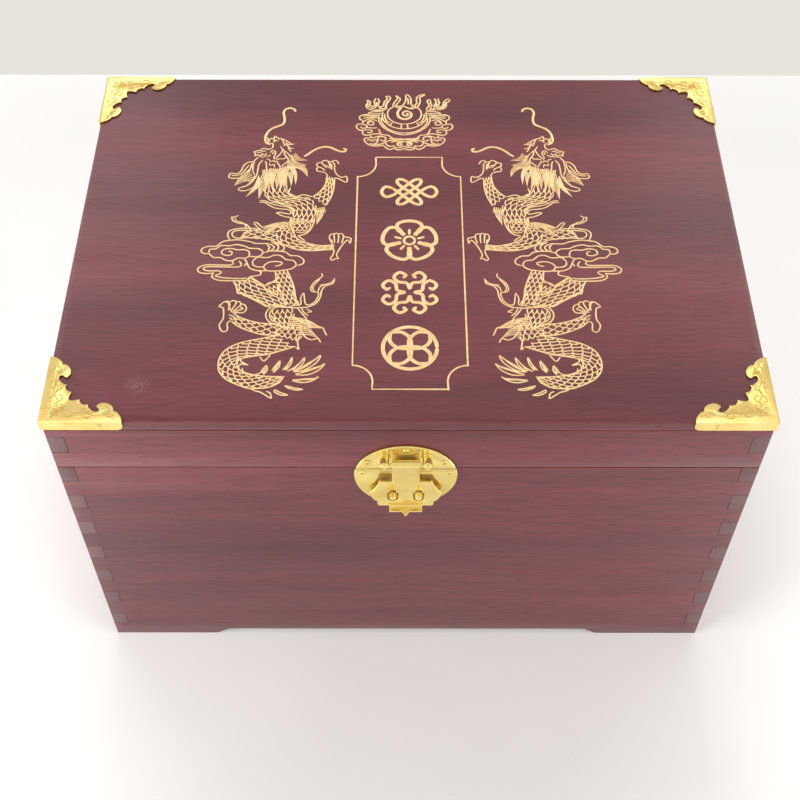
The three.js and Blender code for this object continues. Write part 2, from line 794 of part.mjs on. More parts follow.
function makeHinges(chest) {
  const hinges = new THREE.Group();
  hinges.position.set(0, chestDepth / 2 + hingeSetback, seamHeight);
  chest.add(hinges);
  const pin = toSolid(rodAlongX(hingePinRadius, [-hingeWidth / 2, hingeWidth / 2], 0, 0, plainSides));
  for (const [name, side] of [['left', -1], ['right', 1]]) {
    const hinge = new THREE.Group();
    hinge.position.x = side * hingeSpacing / 2;
    hinges.add(hinge);
    addPart(hinge, `hinge_lower_leaf_${name}`, hingeLeaf(-1), polishedBrass);
    addPart(hinge, `hinge_upper_leaf_${name}`, hingeLeaf(1), polishedBrass);
    addPart(hinge, `hinge_pin_${name}`, pin, polishedBrass);
    addHingeScrews(hinge, name);
  }
}

// The whole chest, moved so that the middle of its footprint, latch and hinges included, is at 0
const chest = new THREE.Group();
chest.position.y = (frontReach - backReach) / 2;
makeBox(chest);
makeBottomPanel(chest);
makeLidFrame(chest);
makeTopBoard(chest);
makeCaps(chest);
makeLatch(chest);
makeHinges(chest);

const assembly = new THREE.Group();
assembly.add(chest);

export default assembly;
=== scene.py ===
# %% [markdown]
# # A camphor wood genealogy chest
# The object is a small lidded box in which a family keeps its genealogy books. It is made of
# camphor boards joined with fingers at the corners, stained dark red-brown and lacquered. The lid is
# carved with gilt lines, its corners wear stamped brass caps, and a round brass latch closes it.
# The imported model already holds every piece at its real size, in metres, with +Z up. This file gives
# each piece its finish and the fine work that a solid model leaves out: the carving, the embossing
# of the caps, the cross recesses of the screws, and softened edges.

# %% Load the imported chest
import json
import math
import bmesh
import bpy
from mathutils import Matrix, Vector

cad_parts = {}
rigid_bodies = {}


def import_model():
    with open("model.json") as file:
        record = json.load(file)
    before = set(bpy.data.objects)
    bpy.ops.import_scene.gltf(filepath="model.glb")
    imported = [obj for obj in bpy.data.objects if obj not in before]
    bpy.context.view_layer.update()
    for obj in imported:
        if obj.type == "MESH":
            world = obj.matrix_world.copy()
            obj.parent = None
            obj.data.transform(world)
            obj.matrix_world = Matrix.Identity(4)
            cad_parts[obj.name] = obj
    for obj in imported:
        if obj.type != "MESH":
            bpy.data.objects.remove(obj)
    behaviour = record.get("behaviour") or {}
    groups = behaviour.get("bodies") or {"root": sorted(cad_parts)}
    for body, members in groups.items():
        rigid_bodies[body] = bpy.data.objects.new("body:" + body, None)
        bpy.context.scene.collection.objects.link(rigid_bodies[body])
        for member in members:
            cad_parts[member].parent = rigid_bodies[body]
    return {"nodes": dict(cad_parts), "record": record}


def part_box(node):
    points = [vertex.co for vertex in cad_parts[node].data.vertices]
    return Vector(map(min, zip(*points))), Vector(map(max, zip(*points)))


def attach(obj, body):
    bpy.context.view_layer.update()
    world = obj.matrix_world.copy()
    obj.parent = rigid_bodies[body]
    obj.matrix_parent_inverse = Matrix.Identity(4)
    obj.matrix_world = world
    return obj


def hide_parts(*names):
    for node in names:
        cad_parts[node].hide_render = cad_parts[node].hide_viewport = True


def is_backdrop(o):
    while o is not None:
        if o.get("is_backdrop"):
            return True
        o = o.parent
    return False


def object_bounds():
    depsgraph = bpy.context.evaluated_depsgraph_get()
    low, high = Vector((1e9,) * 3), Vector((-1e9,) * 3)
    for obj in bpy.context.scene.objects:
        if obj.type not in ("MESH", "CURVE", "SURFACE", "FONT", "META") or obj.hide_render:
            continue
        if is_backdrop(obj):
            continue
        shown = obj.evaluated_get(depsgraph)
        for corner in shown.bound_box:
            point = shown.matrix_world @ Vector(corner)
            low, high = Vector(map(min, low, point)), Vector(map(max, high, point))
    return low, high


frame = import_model()
cad_low, cad_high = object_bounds()
mm = 0.001
print("pieces in the packed model:", len(frame["nodes"]))
print("its box in mm:", [round(value / mm, 1) for value in cad_high - cad_low])

# %% [markdown]
# The photograph looks down on the chest from about waist height above the table. A camera is a
# place, a direction and a lens. The three were found from the six corners of the box that show:
# only one place and lens make a box of this size fall on all six.

# %% Camera
def new_object(name, data):
    made = bpy.data.objects.new(name, data)
    bpy.context.collection.objects.link(made)
    return made


camera_data = bpy.data.cameras.new("camera")
camera_data.sensor_width = 36
camera_data.lens = 59.2
camera = new_object("camera", camera_data)
camera_place = Matrix.Translation((-0.0057, -0.6294, 0.9295))
turn_left = Matrix.Rotation(math.radians(-0.045), 4, "Z")
look_down = Matrix.Rotation(math.radians(36.92), 4, "X")
roll = Matrix.Rotation(math.radians(0.097), 4, "Z")
camera.matrix_world = camera_place @ turn_left @ look_down @ roll
bpy.context.scene.camera = camera
print("camera lens:", round(camera_data.lens, 1), "mm")

# %% [markdown]
# Nodes do most of the work below, in materials and in Geometry Nodes alike. Both kinds of tree are
# built the same way, so one helper adds a node, sets its options and fills its inputs. An input
# that is given another node's output is linked to it, and any other value is typed in. The short
# helpers after it stand for what nearly every tree needs: a sum or product of two values, the place
# of a point on its own piece, and a ramp that turns a value from 0 to 1 into a colour or a grey.

# %% Helpers that add nodes
def put(tree, kind, inputs=None, **options):
    made = tree.nodes.new(kind)
    for name, value in options.items():
        setattr(made, name, value)
    for socket, value in (inputs or {}).items():
        if isinstance(value, bpy.types.NodeSocket):
            tree.links.new(value, made.inputs[socket])
        else:
            made.inputs[socket].default_value = value
    return made


def reckon(tree, operation, first, second):
    return put(tree, "ShaderNodeMath", {0: first, 1: second}, operation=operation).outputs[0]


def object_place(tree):
    return put(tree, "ShaderNodeTexCoord").outputs["Object"]


def ramp(tree, value, *stops):
    made = put(tree, "ShaderNodeValToRGB", {"Fac": value})
    elements = made.color_ramp.elements
    while len(elements) < len(stops):
        elements.new(1.0)
    for element, (position, colour) in zip(elements, stops):
        element.position = position
        red_green_blue = colour if isinstance(colour, tuple) else (colour,) * 3
        element.color = (*red_green_blue, 1)
    return made.outputs["Color"]


def new_material(name):
    material = bpy.data.materials.new(name)
    material.use_nodes = True
    tree = material.node_tree
    print("new material:", name)
    return material, tree, tree.nodes["Principled BSDF"]


print("node helpers:", [helper.__name__ for helper in (put, reckon, object_place, ramp, new_material)])

# %% [markdown]
# The table is a plain white sheet that ends behind the chest. Far from the lamps it gets a little
# light of its own, so that it stays as pale there as a lit room would make it. That light is only
# for what the camera sees, directly or in a mirror, and lights nothing on the chest.

# %% Table
table_side = 3.0
table_end = 0.51


def seen_directly(tree):
    path = put(tree, "ShaderNodeLightPath").outputs
    seen = reckon(tree, "MAXIMUM", path["Is Camera Ray"], path["Is Glossy Ray"])
    return reckon(tree, "MAXIMUM", seen, path["Is Transmission Ray"])


def white_table():
    material, tree, shader = new_material("white_table")
    place = object_place(tree)
    mottle = put(tree, "ShaderNodeTexNoise", {"Vector": place, "Scale": 6.0}).outputs["Fac"]
    tint = ramp(tree, mottle, (0.3, (0.82, 0.805, 0.785)), (0.7, (0.85, 0.835, 0.815)))
    tree.links.new(tint, shader.inputs["Base Color"])
    shader.inputs["Roughness"].default_value = 0.75
    shader.inputs["Emission Color"].default_value = (1.0, 0.97, 0.93, 1)
    away = put(tree, "ShaderNodeVectorMath", {0: place}, operation="LENGTH").outputs["Value"]
    reach = {"Value": away, "From Min": 0.55, "From Max": 1.7, "To Min": 0.04, "To Max": 0.62}
    reach = put(tree, "ShaderNodeMapRange", reach).outputs[0]
    own_light = reckon(tree, "MULTIPLY", seen_directly(tree), reach)
    tree.links.new(own_light, shader.inputs["Emission Strength"])
    return material


def make_table():
    corners = (
        (-table_side, -table_side, 0),
        (table_side, -table_side, 0),
        (table_side, table_end, 0),
        (-table_side, table_end, 0),
    )
    mesh = bpy.data.meshes.new("table")
    mesh.from_pydata(corners, [], [(0, 1, 2, 3)])
    mesh.materials.append(white_table())
    table = new_object("table", mesh)
    table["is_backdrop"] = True
    print("table ends behind the chest at y in metres:", table_end)


make_table()

# %% [markdown]
# Beyond the table stands a pale wall. It is only the colour of the world, so that it never stands
# in the way of a view from behind, while the chest itself gets an even, weaker glow from all sides.

# %% Wall
def make_world():
    world = bpy.data.worlds.new("bright_room")
    world.use_nodes = True
    tree = world.node_tree
    tree.nodes.clear()
    glow = put(tree, "ShaderNodeBackground", {"Color": (1.0, 0.985, 0.965, 1), "Strength": 0.25})
    wall = put(tree, "ShaderNodeBackground", {"Color": (0.80, 0.768, 0.725, 1), "Strength": 1.0})
    both = {0: seen_directly(tree), 1: glow.outputs[0], 2: wall.outputs[0]}
    both = put(tree, "ShaderNodeMixShader", both)
    put(tree, "ShaderNodeOutputWorld", {"Surface": both.outputs[0]})
    bpy.context.scene.world = world


make_world()
print("world:", bpy.context.scene.world.name)

# %% [markdown]
# The light is that of a bright room. A ceiling lamp behind the chest draws the soft shadow before
# its front, and two wide panels beside it are what the lacquered lid mirrors. A near window at each
# side makes both ends lighter than the middle, and two small lamps only serve to sparkle in the
# brass. The ceiling lamp and the windows aren't mirrored, because they would show as white patches.

# %% Lamps
def soft_lamp(name, power, size, place, mirrored_in_gloss):
    data = bpy.data.lights.new(name, "AREA")
    data.energy = power
    data.shape = "SQUARE"
    data.size = size
    lamp = new_object(name, data)
    lamp.location = place
    lamp.visible_glossy = mirrored_in_gloss
    towards_chest = Vector((0, 0, 0.15)) - Vector(place)
    lamp.rotation_euler = towards_chest.to_track_quat("-Z", "Y").to_euler()


lamps = (
    ("ceiling", 15, 0.6, (0.0, 0.85, 1.55), False),
    ("left_panel", 5, 1.0, (-0.9, 1.2, 1.25), True),
    ("right_panel", 5, 1.0, (0.95, 1.2, 1.25), True),
    ("left_window", 6.3, 0.6, (-0.68, -0.46, 0.38), False),
    ("right_window", 4.5, 0.6, (0.70, -0.46, 0.38), False),
    ("left_sparkle", 0.25, 0.12, (-0.55, -0.6, 0.55), True),
    ("right_sparkle", 0.25, 0.12, (0.55, -0.6, 0.55), True),
)
for lamp_row in lamps:
    soft_lamp(*lamp_row)
bpy.context.scene.view_settings.view_transform = "Standard"
print("lamps:", [lamp.name for lamp in bpy.data.lights])

# %% [markdown]
# Every finish below starts from noise. Stretched along the grain it gives the fibres of wood, and
# left even it gives the grit of metal. It is read at the place of a point on its own piece, so the
# pattern stays on the piece when the lid opens. A bump lifts the surface by the same noise.

# %% Helpers for patterns
def stretched(tree, along, across, axis):
    scale = [across] * 3
    scale["XYZ".index(axis)] = along
    return put(tree, "ShaderNodeMapping", {"Vector": object_place(tree), "Scale": scale}).outputs["Vector"]


def noise(tree, vector, scale=1.0, detail=3.0, roughness=0.5, distortion=0.0):
    inputs = {"Vector": vector, "Scale": scale, "Detail": detail, "Roughness": roughness}
    return put(tree, "ShaderNodeTexNoise", {**inputs, "Distortion": distortion}).outputs["Fac"]


def mix(tree, share, first, second, blend_type="MIX"):
    inputs = {0: share, 6: first, 7: second}
    return put(tree, "ShaderNodeMix", inputs, data_type="RGBA", blend_type=blend_type).outputs[2]


def lift(tree, shader, height, strength, distance):
    bump = put(tree, "ShaderNodeBump", {"Height": height, "Strength": strength, "Distance": distance})
    tree.links.new(bump.outputs["Normal"], shader.inputs["Normal"])


print("pattern helpers:", [helper.__name__ for helper in (stretched, noise, mix, lift)])

# %% [markdown]
# Stained camphor wood shows its fibres as fine lines along the board, wide soft bands where the stain
# took differently, and small dark pores. All three are the same noise, stretched along the grain by
# different amounts. One small scuff near the front left corner of the lid shows pale scratches.
# Satin lacquer covers it all, so the shader has a clear coat, and the fibres lift the coat by only a
# few hundredths of a millimetre.

# %% Stained and lacquered wood
scratched_wood = (0.42, 0.27, 0.25, 1)
scuff_radius = 0.009


def scuffed(tree, colour, middle):
    place = object_place(tree)
    away = put(tree, "ShaderNodeVectorMath", {0: place, 1: middle}, operation="DISTANCE").outputs["Value"]
    nearness = {"Value": away, "From Min": scuff_radius, "From Max": scuff_radius / 4}
    nearness = put(tree, "ShaderNodeMapRange", nearness).outputs[0]
    scratches = ramp(tree, noise(tree, place, scale=1400, detail=2), (0.54, 0.0), (0.66, 0.75))
    share = reckon(tree, "MULTIPLY", nearness, scratches)
    return mix(tree, share, colour, scratched_wood)


def lacquered_wood(name, axis, dark, middle, light, scuff=None):
    material, tree, shader = new_material(name)
    bands = noise(tree, stretched(tree, 1.6, 17, axis), detail=4, roughness=0.55, distortion=0.4)
    fibres = noise(tree, stretched(tree, 22, 750, axis), detail=4, roughness=0.7)
    pores = noise(tree, stretched(tree, 70, 1900, axis), detail=1)
    colour = ramp(tree, bands, (0.3, dark), (0.5, middle), (0.72, light))
    fibre_tint = ramp(tree, fibres, (0.3, 0.66), (0.7, 1.22))
    colour = mix(tree, 1.0, colour, fibre_tint, "MULTIPLY")
    pore_mask = ramp(tree, pores, (0.63, 0.0), (0.72, 1.0))
    pore_colour = tuple(0.45 * value for value in dark)
    colour = mix(tree, pore_mask, colour, (*pore_colour, 1))
    if scuff:
        colour = scuffed(tree, colour, scuff)
    tree.links.new(colour, shader.inputs["Base Color"])
    satin = ramp(tree, noise(tree, stretched(tree, 8, 60, axis)), (0.3, 0.34), (0.7, 0.46))
    tree.links.new(satin, shader.inputs["Roughness"])
    shader.inputs["Specular IOR Level"].default_value = 0.35
    shader.inputs["Coat Weight"].default_value = 0.42
    shader.inputs["Coat Roughness"].default_value = 0.22
    lift(tree, shader, fibres, 0.35, 0.08 * mm)
    return material


# %% [markdown]
# End grain drinks more stain than the face does, and there the cut fibres are dots, which makes it
# greyer. The softened edges get a lighter, redder wood: partly a worn edge where the wood shines
# through, partly a painted highlight where the rounded edges catch the light. Each finish is made
# twice, because some boards run from left to right and some from front to back.

# %% The wood's finishes
maroon = dict(dark=(0.085, 0.012, 0.019), middle=(0.134, 0.020, 0.029), light=(0.178, 0.030, 0.039))
greyer = dict(dark=(0.092, 0.034, 0.038), middle=(0.124, 0.047, 0.052), light=(0.155, 0.062, 0.067))
# Rubbed edges: a lighter, redder wear colour that is also a painted highlight along every softened edge
rubbed_and_highlit = dict(dark=(0.12, 0.022, 0.024), middle=(0.19, 0.042, 0.042), light=(0.27, 0.075, 0.065))
wood_finishes = {
    axis: [
        lacquered_wood("stained_camphor_grain_" + axis.lower(), axis, **maroon),
        lacquered_wood("stained_end_grain_" + axis.lower(), axis, **greyer),
        lacquered_wood("rubbed_highlit_edge_" + axis.lower(), axis, **rubbed_and_highlit),
    ]
    for axis in "XY"
}
lid_grain = lacquered_wood("stained_camphor_lid", "X", **maroon, scuff=(-0.169, -0.130, 0.280))
print("wood finishes:", 1 + sum(len(finishes) for finishes in wood_finishes.values()))

# %% [markdown]
# The lid is carved with a V-shaped router bit and the grooves are filled with gold paint. A carved
# line is drawn here as a stroke: points across the lid in millimetres, each with its width. The bit
# sinks by a little over a third of the width, so a wide stroke is also a deep one. A smooth curve
# passes through a few chosen points, which keeps each drawing short and easy to change. A stroke
# thins out at its two ends, as a cut does where the bit is lifted.

# %% Smooth strokes
carving = []
end_share = 0.6


def pairs(flat):
    return [Vector(pair) for pair in zip(flat[::2], flat[1::2])]


def smooth(flat, closed=False, reach=1.6):
    knots = pairs(flat)
    if closed:
        chain = [knots[-1], *knots, knots[0], knots[1]]
    else:
        chain = [2 * knots[0] - knots[1], *knots, 2 * knots[-1] - knots[-2]]
    points = []
    for a, b, c, d in zip(chain, chain[1:], chain[2:], chain[3:]):
        steps = min(8, max(1, math.ceil((c - b).length / reach)))
        for t in (step / steps for step in range(steps)):
            curved = (2 * a - 5 * b + 4 * c - d) * t * t + (3 * b - a - 3 * c + d) * t**3
            points.append((2 * b + (c - a) * t + curved) / 2)
    return points if closed else [*points, knots[-1]]


def stroke(width, *flat, closed=False, straight=False):
    points = pairs(flat) if straight else smooth(flat, closed)
    widths = [width] * len(points)
    if not closed:
        widths[0] = widths[-1] = width * end_share
    carving.append((points, widths, closed))


def draw(width, lines):
    for line in lines:
        stroke(width, *line)


def mirrored(first, about):
    for points, widths, closed in carving[first:]:
        flipped = [Vector((2 * about - point.x, point.y)) for point in points]
        carving.append((flipped, list(widths), closed))


print("points on a smooth stroke through three:", len(smooth([0, 0, 5, 5, 10, 0])))

# %% [markdown]
# Hair is carved as locks that run out to a fine tip, and a tuft is a fan of them from a root line to
# one tip. Scales fill a band between two edges in staggered rows, each scale the same small arc.
# Both edges are first walked in even steps, so that the rows follow the bends of the body.

# %% Locks, tufts, scales and spirals
strand_share = 0.42
tip_spread = 0.12
scale_arc = ((0.0, 0.0), (0.08, 0.45), (0.5, 1.0), (0.92, 0.45), (1.0, 0.0))


def lock(width, *flat):
    points = smooth(flat)
    last = len(points) - 1
    widths = [width * (1 - 0.85 * (index / last) ** 1.5) for index in range(last + 1)]
    carving.append((points, widths, False))


def tuft(count, width, first_x, first_y, last_x, last_y, tip_x, tip_y, bow=0.0):
    tip = Vector((tip_x, tip_y))
    for share in (strand / (count - 1) for strand in range(count)):
        root = Vector((first_x, first_y)).lerp(Vector((last_x, last_y)), share)
        end = tip.lerp(root, tip_spread * abs(share - 0.4))
        middle = (root + end) / 2 + (end - root).orthogonal() * bow
        lock(strand_share * width, *root, *middle, *end)


def spot(edge, share):
    place = share * (len(edge) - 1)
    index = min(int(place), len(edge) - 2)
    return edge[index].lerp(edge[index + 1], place - index)


def even(flat, count=40):
    points = smooth(flat, reach=0.8)
    lengths = [0.0]
    for a, b in zip(points, points[1:]):
        lengths.append(lengths[-1] + (b - a).length)
    result = []
    index = 0
    for step in range(count + 1):
        goal = lengths[-1] * step / count
        while index < len(points) - 2 and lengths[index + 1] < goal:
            index += 1
        span = max(lengths[index + 1] - lengths[index], 1e-6)
        result.append(points[index].lerp(points[index + 1], (goal - lengths[index]) / span))
    return result


def scales(rows, across, one_edge, other_edge, width=0.85, edges=True):
    near = even(one_edge)
    far = even(other_edge)
    for row in range(rows):
        shift = row % 2 / 2
        for cell in range(across + row % 2):
            low = max(0, (cell - shift) / across)
            high = min(1, (cell + 1 - shift) / across)
            flat = []
            for part, drop in scale_arc:
                along = min(1.0, (row + drop) / rows)
                flat.extend(spot(near, along).lerp(spot(far, along), low + (high - low) * part))
            stroke(width, *flat)
    if edges:
        draw(width + 0.15, (one_edge, other_edge))


def spiral(width, x, y, inner, outer, start, sweep, steps=9):
    flat = []
    for step in range(steps + 1):
        angle = math.radians(start + sweep * step / steps)
        radius = inner + (outer - inner) * step / steps
        flat += [x + radius * math.cos(angle), y + radius * math.sin(angle)]
    stroke(width, *flat)


print("points on a scale:", len(scale_arc))

# %% [markdown]
# The two dragons face each other across the panel, so only the left one is drawn, from its head
# at the top to its fanned tail, and the right one is its mirror image. Its body is a long scaled
# band that coils, passes behind the clouds and comes out again. The head comes first, with its
# whiskers, snout and eye, and below it hangs the mane of tufts.

# %% Dragon: head, whiskers and mane
dragon_start = len(carving)
stroke(1.7, -83.3, 123.8, -84, 126.3, -87, 127.8, -90.5, 126.6, -91.9, 122.5, -91.1, 118.5, -90.7, 114,
       -91.8, 110, -95, 108, -99.5, 105.2, -102.3, 101.5, -103.6, 97, -103.7, 93, -102.5, 90, -99.6, 88.3)
stroke(1.0, -102.2, 96, -101.5, 92.5, -100, 90.6)
stroke(1.7, -74.8, 75.8, -72, 78, -69, 81.3, -65, 84.3, -60, 85.9, -55.5, 84.9, -52, 82.6, -48.5, 80.9,
       -45.6, 81.1, -45, 83.2, -47, 84.4)
stroke(1.0, -98.3, 83.6, -97.6, 87, -98.2, 89.4, -100.6, 88.9, -101.6, 91.2, -99.4, 94.8, -97.5, 94.2,
       -96.9, 97.2, -94.7, 95.2, -91.5, 94.2, -88.5, 92.3, -86, 90.2, -84.3, 88.6, -82.4, 88.8)
stroke(1.0, -96.8, 94, -97.2, 91.5, -95.4, 92.8, -93.6, 92.6)
stroke(1.0, -91.6, 93.8, -90.2, 90.6, -89.2, 87.4, -87, 88.4, -84.6, 88)
stroke(1.0, -88.4, 90.6, -87.6, 88.6, -86.6, 86.4, -84.9, 84.4, -82.6, 84.1)
stroke(0.9, -92.3, 86.6, -91.2, 84.2, -89.6, 82, -87.2, 79.8)
stroke(1.0, -90.6, 83, -91, 80.4, -92.8, 77, -95.2, 73.4)
stroke(1.0, -86.9, 86.2, -85.6, 83.2, -84.2, 80.6)
stroke(1.0, -89.4, 81.4, -88.6, 77.4, -86.6, 74.4, -85.8, 71.4, -88.2, 68.2, -90.6, 65.6)
stroke(0.9, -87.2, 79.6, -85.4, 77.4, -84.6, 75)
stroke(0.9, -94.4, 72.2, -91.6, 73.4, -88.9, 73.2, -87.4, 75.6)
stroke(0.9, -94.6, 71.4, -93, 68.6, -91.4, 65, -90.9, 62.4)
stroke(1.0, -98.6, 84, -101, 83.1, -103.2, 84.2, -105, 84, -106.6, 82.2, -110.9, 80.6, -109.8, 78.8,
       -109.9, 76.6, -107.6, 77.4, -105.9, 75.6, -104.9, 78.2, -103, 77.2, -101.5, 79.4)
stroke(0.9, -108.9, 79.8, -106.4, 79.8, -104.6, 81.4, -102.4, 81.2)
stroke(0.9, -99.1, 79.6, -98.4, 81.4, -96.6, 81.9, -95.2, 80.2, -95.4, 77.6, -96.4, 75.2, -95.8, 72.6)
stroke(0.9, -97.7, 79.2, -96.8, 80, -96.3, 79, -97.1, 78.2, closed=True)
stroke(0.9, -104.6, 74.4, -102.6, 76.2, -100.4, 76, -98.8, 77.6)
stroke(0.9, -101.8, 73.4, -99.6, 72.6, -98.4, 70.4, -96.4, 71.4, -94.8, 69.6)
stroke(0.9, -99.2, 69.2, -98.4, 66.4, -96, 67.4, -95.2, 64.4)
stroke(1.0, -102.2, 71, -101.2, 67.4, -101, 63.6, -99.6, 60.6)
stroke(1.0, -107.4, 75.4, -109.6, 72, -111.2, 70.2, -114.6, 69.6, -117.4, 66, -118.8, 61, -121.4, 58,
       -126, 58.3, -127, 54.6, -124, 53.2, -118.6, 54.2, -114.6, 58.2, -112.4, 63, -111.6, 69)
stroke(0.9, -113.4, 66.8, -115.8, 62.6, -118, 58.4, -121.6, 56.2, -125.4, 56.2)
stroke(0.9, -109.9, 70.4, -110.6, 66, -110.4, 60.6, -108.8, 56.4)
stroke(1.0, -104, 72, -106.4, 68, -107, 62, -107.4, 57, -109.4, 51.4, -113, 46.4, -117, 44.4, -119.2, 43,
       -118.8, 41.2, -114.6, 40.8, -110, 43.2, -106.6, 47.2)
stroke(0.9, -108.8, 56, -110.8, 50, -113.8, 46.2)
tuft(6, 1.9, -113, 62.5, -109.2, 52.5, -122.9, 45.8, -0.06)
tuft(3, 1.6, -114.5, 55.5, -111.2, 50, -120.2, 51.6, -0.05)
tuft(6, 1.9, -105.8, 56, -103.4, 49, -113.6, 34.4, 0.05)
tuft(5, 2.0, -103.2, 58, -98.4, 50, -104.6, 32.2, -0.05)
tuft(5, 2.0, -103.6, 62, -98.6, 62, -100.6, 37.5, 0.04)
tuft(4, 1.9, -101, 58, -96.4, 58, -97.6, 40.5, -0.03)
tuft(5, 2.0, -98.4, 63.6, -93.6, 63, -94.8, 38.5, -0.04)
tuft(4, 1.9, -96, 58, -91.4, 58, -92.4, 42, 0.03)
tuft(5, 2.0, -94.4, 62.8, -89.4, 64, -89.8, 39.5, 0.04)
tuft(4, 1.9, -91, 60, -86.4, 60, -87.4, 43, -0.03)
tuft(5, 2.0, -89.6, 65.2, -84.8, 66.2, -85, 40.4, -0.05)
tuft(4, 1.9, -86.4, 60, -82.6, 60, -82.4, 45, 0.04)
tuft(6, 1.9, -86.4, 66.4, -81.4, 65, -79.2, 46.6, 0.08)
tuft(5, 1.8, -81.6, 65.6, -75, 66.4, -71.1, 54.8, 0.1)
tuft(5, 1.7, -85, 70, -84.4, 77.6, -72.2, 66.4, -0.16)
tuft(4, 1.7, -84.6, 75.2, -81.4, 79.2, -71.8, 71.6, -0.14)
tuft(4, 1.6, -86.6, 67.4, -86.2, 72, -74.6, 63.2, -0.12)
print("strokes of the head and mane:", len(carving))

# %% [markdown]
# The upper body is a band of scales from the neck to the first coil. The arm is a narrower band that
# ends in a claw, and each toe of the claw is a stroke or two round its outline.

# %% Dragon: arm, chest and first coil
scales(7, 3, (-57.6, 56, -58.6, 47, -62, 40, -67, 34.8), (-52.2, 53.6, -52.4, 44, -54, 35, -57.6, 26))
scales(8, 5, (-102, 43, -99.5, 34.5, -94, 29.5, -86, 26.4, -80.8, 21.5, -80.4, 16, -81.4, 9.6),
       (-83, 44, -82.4, 37.6, -75.2, 34.6, -68.6, 33.2, -64.4, 26, -64, 17.4, -65.8, 10), edges=False)
stroke(1.0, -84.6, 42, -83.4, 37.4, -80.6, 35.8, -77.4, 34.9, -75.6, 36.3, -72.4, 36.7, -69.6, 35.6,
       -67, 34.9)
stroke(1.0, -104, 29.4, -100, 29.2, -96.8, 26.6, -93, 24, -88, 22.8, -84, 22.4, -81.4, 20.4, -82, 18.2,
       -85.4, 18.6, -88.4, 19.6, -91, 19, -88, 16.8, -84.6, 15.2, -81.4, 14.4, -81.6, 10.6)
stroke(0.9, -103.6, 31, -100, 30.9, -96.6, 28.8, -92, 26.6, -86.6, 25.4, -82.4, 24.2, -79.4, 21.4, -79.6, 17)
stroke(0.9, -96, 28.8, -91.6, 30.4, -87.6, 27.6, -83.2, 26.4)
tuft(6, 1.9, -65.6, 23, -58.6, 25, -63.2, 7.4, 0.08)
tuft(4, 1.7, -63.6, 21, -58.4, 24, -57.2, 19.6, 0.0)
stroke(1.0, -64.6, 13, -65.6, 7.6, -67.6, 2.2, -71, -1.4, -75.4, -2.6)
stroke(0.9, -81.6, 10.6, -79.4, 12.4, -76.2, 13.3, -71, 12.2, -67.6, 8.8, -67.4, 4.6, -69.4, 1.4, -73, 0.2,
       -76.8, 0.6)
scales(3, 3, (-79.6, 10.4, -80.4, 6, -78.4, 1.6), (-70.4, 10.8, -68.8, 6.4, -70.2, 1.8), edges=False)
stroke(0.9, -72.8, 11.4, -78.4, 10.2, -80.2, 6, -78, 1.8)
fore_claw = (
    (-58.8, 59, -61.2, 60, -64.6, 60.6, -65.2, 63.2, -63.6, 64.8, -61, 63.4, -59.4, 61.2),
    (-63.6, 64.8, -65.4, 66.6, -64.8, 68.8, -62.4, 69.4, -60.4, 67.2, -58.2, 63.8),
    (-62.4, 69.2, -61, 71, -59.2, 71.8, -57.4, 70.8, -56.2, 67.4, -55.4, 63.4),
    (-57.4, 70.6, -54.6, 70.2, -53.4, 71.6, -51, 71, -50, 69.2, -49.4, 67.8),
    (-54.2, 70, -52.6, 67.4, -52.4, 61.6, -50.4, 56.8, -47, 54.4, -43.8, 55.4, -43.2, 51, -44.2, 49.3,
     -47.2, 51.4, -50, 53.3, -52.6, 53.6),
    (-60.8, 66.4, -58, 66.2, -56.4, 63.6),
    (-57.2, 69.2, -54.9, 67.2, -54.6, 62),
    (-58.8, 59, -57.4, 56.4, -57.6, 54.6),
)
draw(0.95, fore_claw)
print("strokes down to the first coil:", len(carving))

# %% [markdown]
# The second arm reaches towards the panel. Loose tendrils curl from the elbow, and the tufts behind
# them hide where the body turns away under the clouds.

# %% Dragon: second arm, tendrils and elbow
scales(9, 3, (-79.4, 4, -77, -3.6, -73, -7.6, -66, -10.6, -59, -12, -51, -11.2),
       (-90.4, 0, -88.6, -7.6, -83, -12.2, -75, -15.6, -65, -16.6, -51, -15.4))
scales(6, 2, (-89.4, 1.6, -96, 1, -104, 3, -112, 0.6), (-90.2, -6.4, -98, -6.2, -106, -5.2, -114.4, -4.8),
       edges=False)
scales(4, 3, (-85.6, 9.6, -87.6, 5, -90.4, 1), (-79.4, 12, -80.6, 7, -80, 1.6), edges=False)
stroke(1.0, -114.6, -4.9, -106, -4.6, -98, -5.8, -92, -7.4, -88, -11.6)
stroke(1.0, -75.6, -2.8, -73.4, -4.8, -70.4, -7.4)
tuft(6, 1.9, -84.6, 10.2, -86.8, 4.6, -101.4, 4.8, -0.06)
tuft(5, 1.9, -89.6, 7.4, -92, 1.6, -100.6, -3, -0.08)
tuft(3, 1.7, -92, 9, -92, 5, -102, 1.4, 0.0)
stroke(1.0, -117.4, 16.8, -119.8, 14.9, -121.8, 14.9, -120.8, 11.6, -117, 9.2, -112, 8.2, -109.4, 5.6,
       -108, 2.6, -110.6, 1.4, -113.6, -3.4)
stroke(0.9, -119.8, 14.2, -118.4, 11.4, -114, 9.4, -111.6, 6.6, -112, 4.6)
stroke(1.0, -106.6, 9.3, -104.4, 9.8, -101.8, 7, -100.2, 5.2)
stroke(0.9, -106.4, 8.9, -104.6, 6.8, -103, 4.6, -101.4, 2.8)
stroke(1.0, -107.6, 4.3, -111, 4.4, -116.6, 4, -121.2, 2.6, -123.3, 0, -123, -3.4, -121.4, -7)
stroke(1.0, -109.6, 2.4, -114, 2.4, -118.4, 1.8, -120.4, -0.2, -120, -3, -117.6, -4.8, -113.4, -5.2)
stroke(0.9, -108, 3.8, -105.6, 4.4, -103, 3, -101, 3.8)
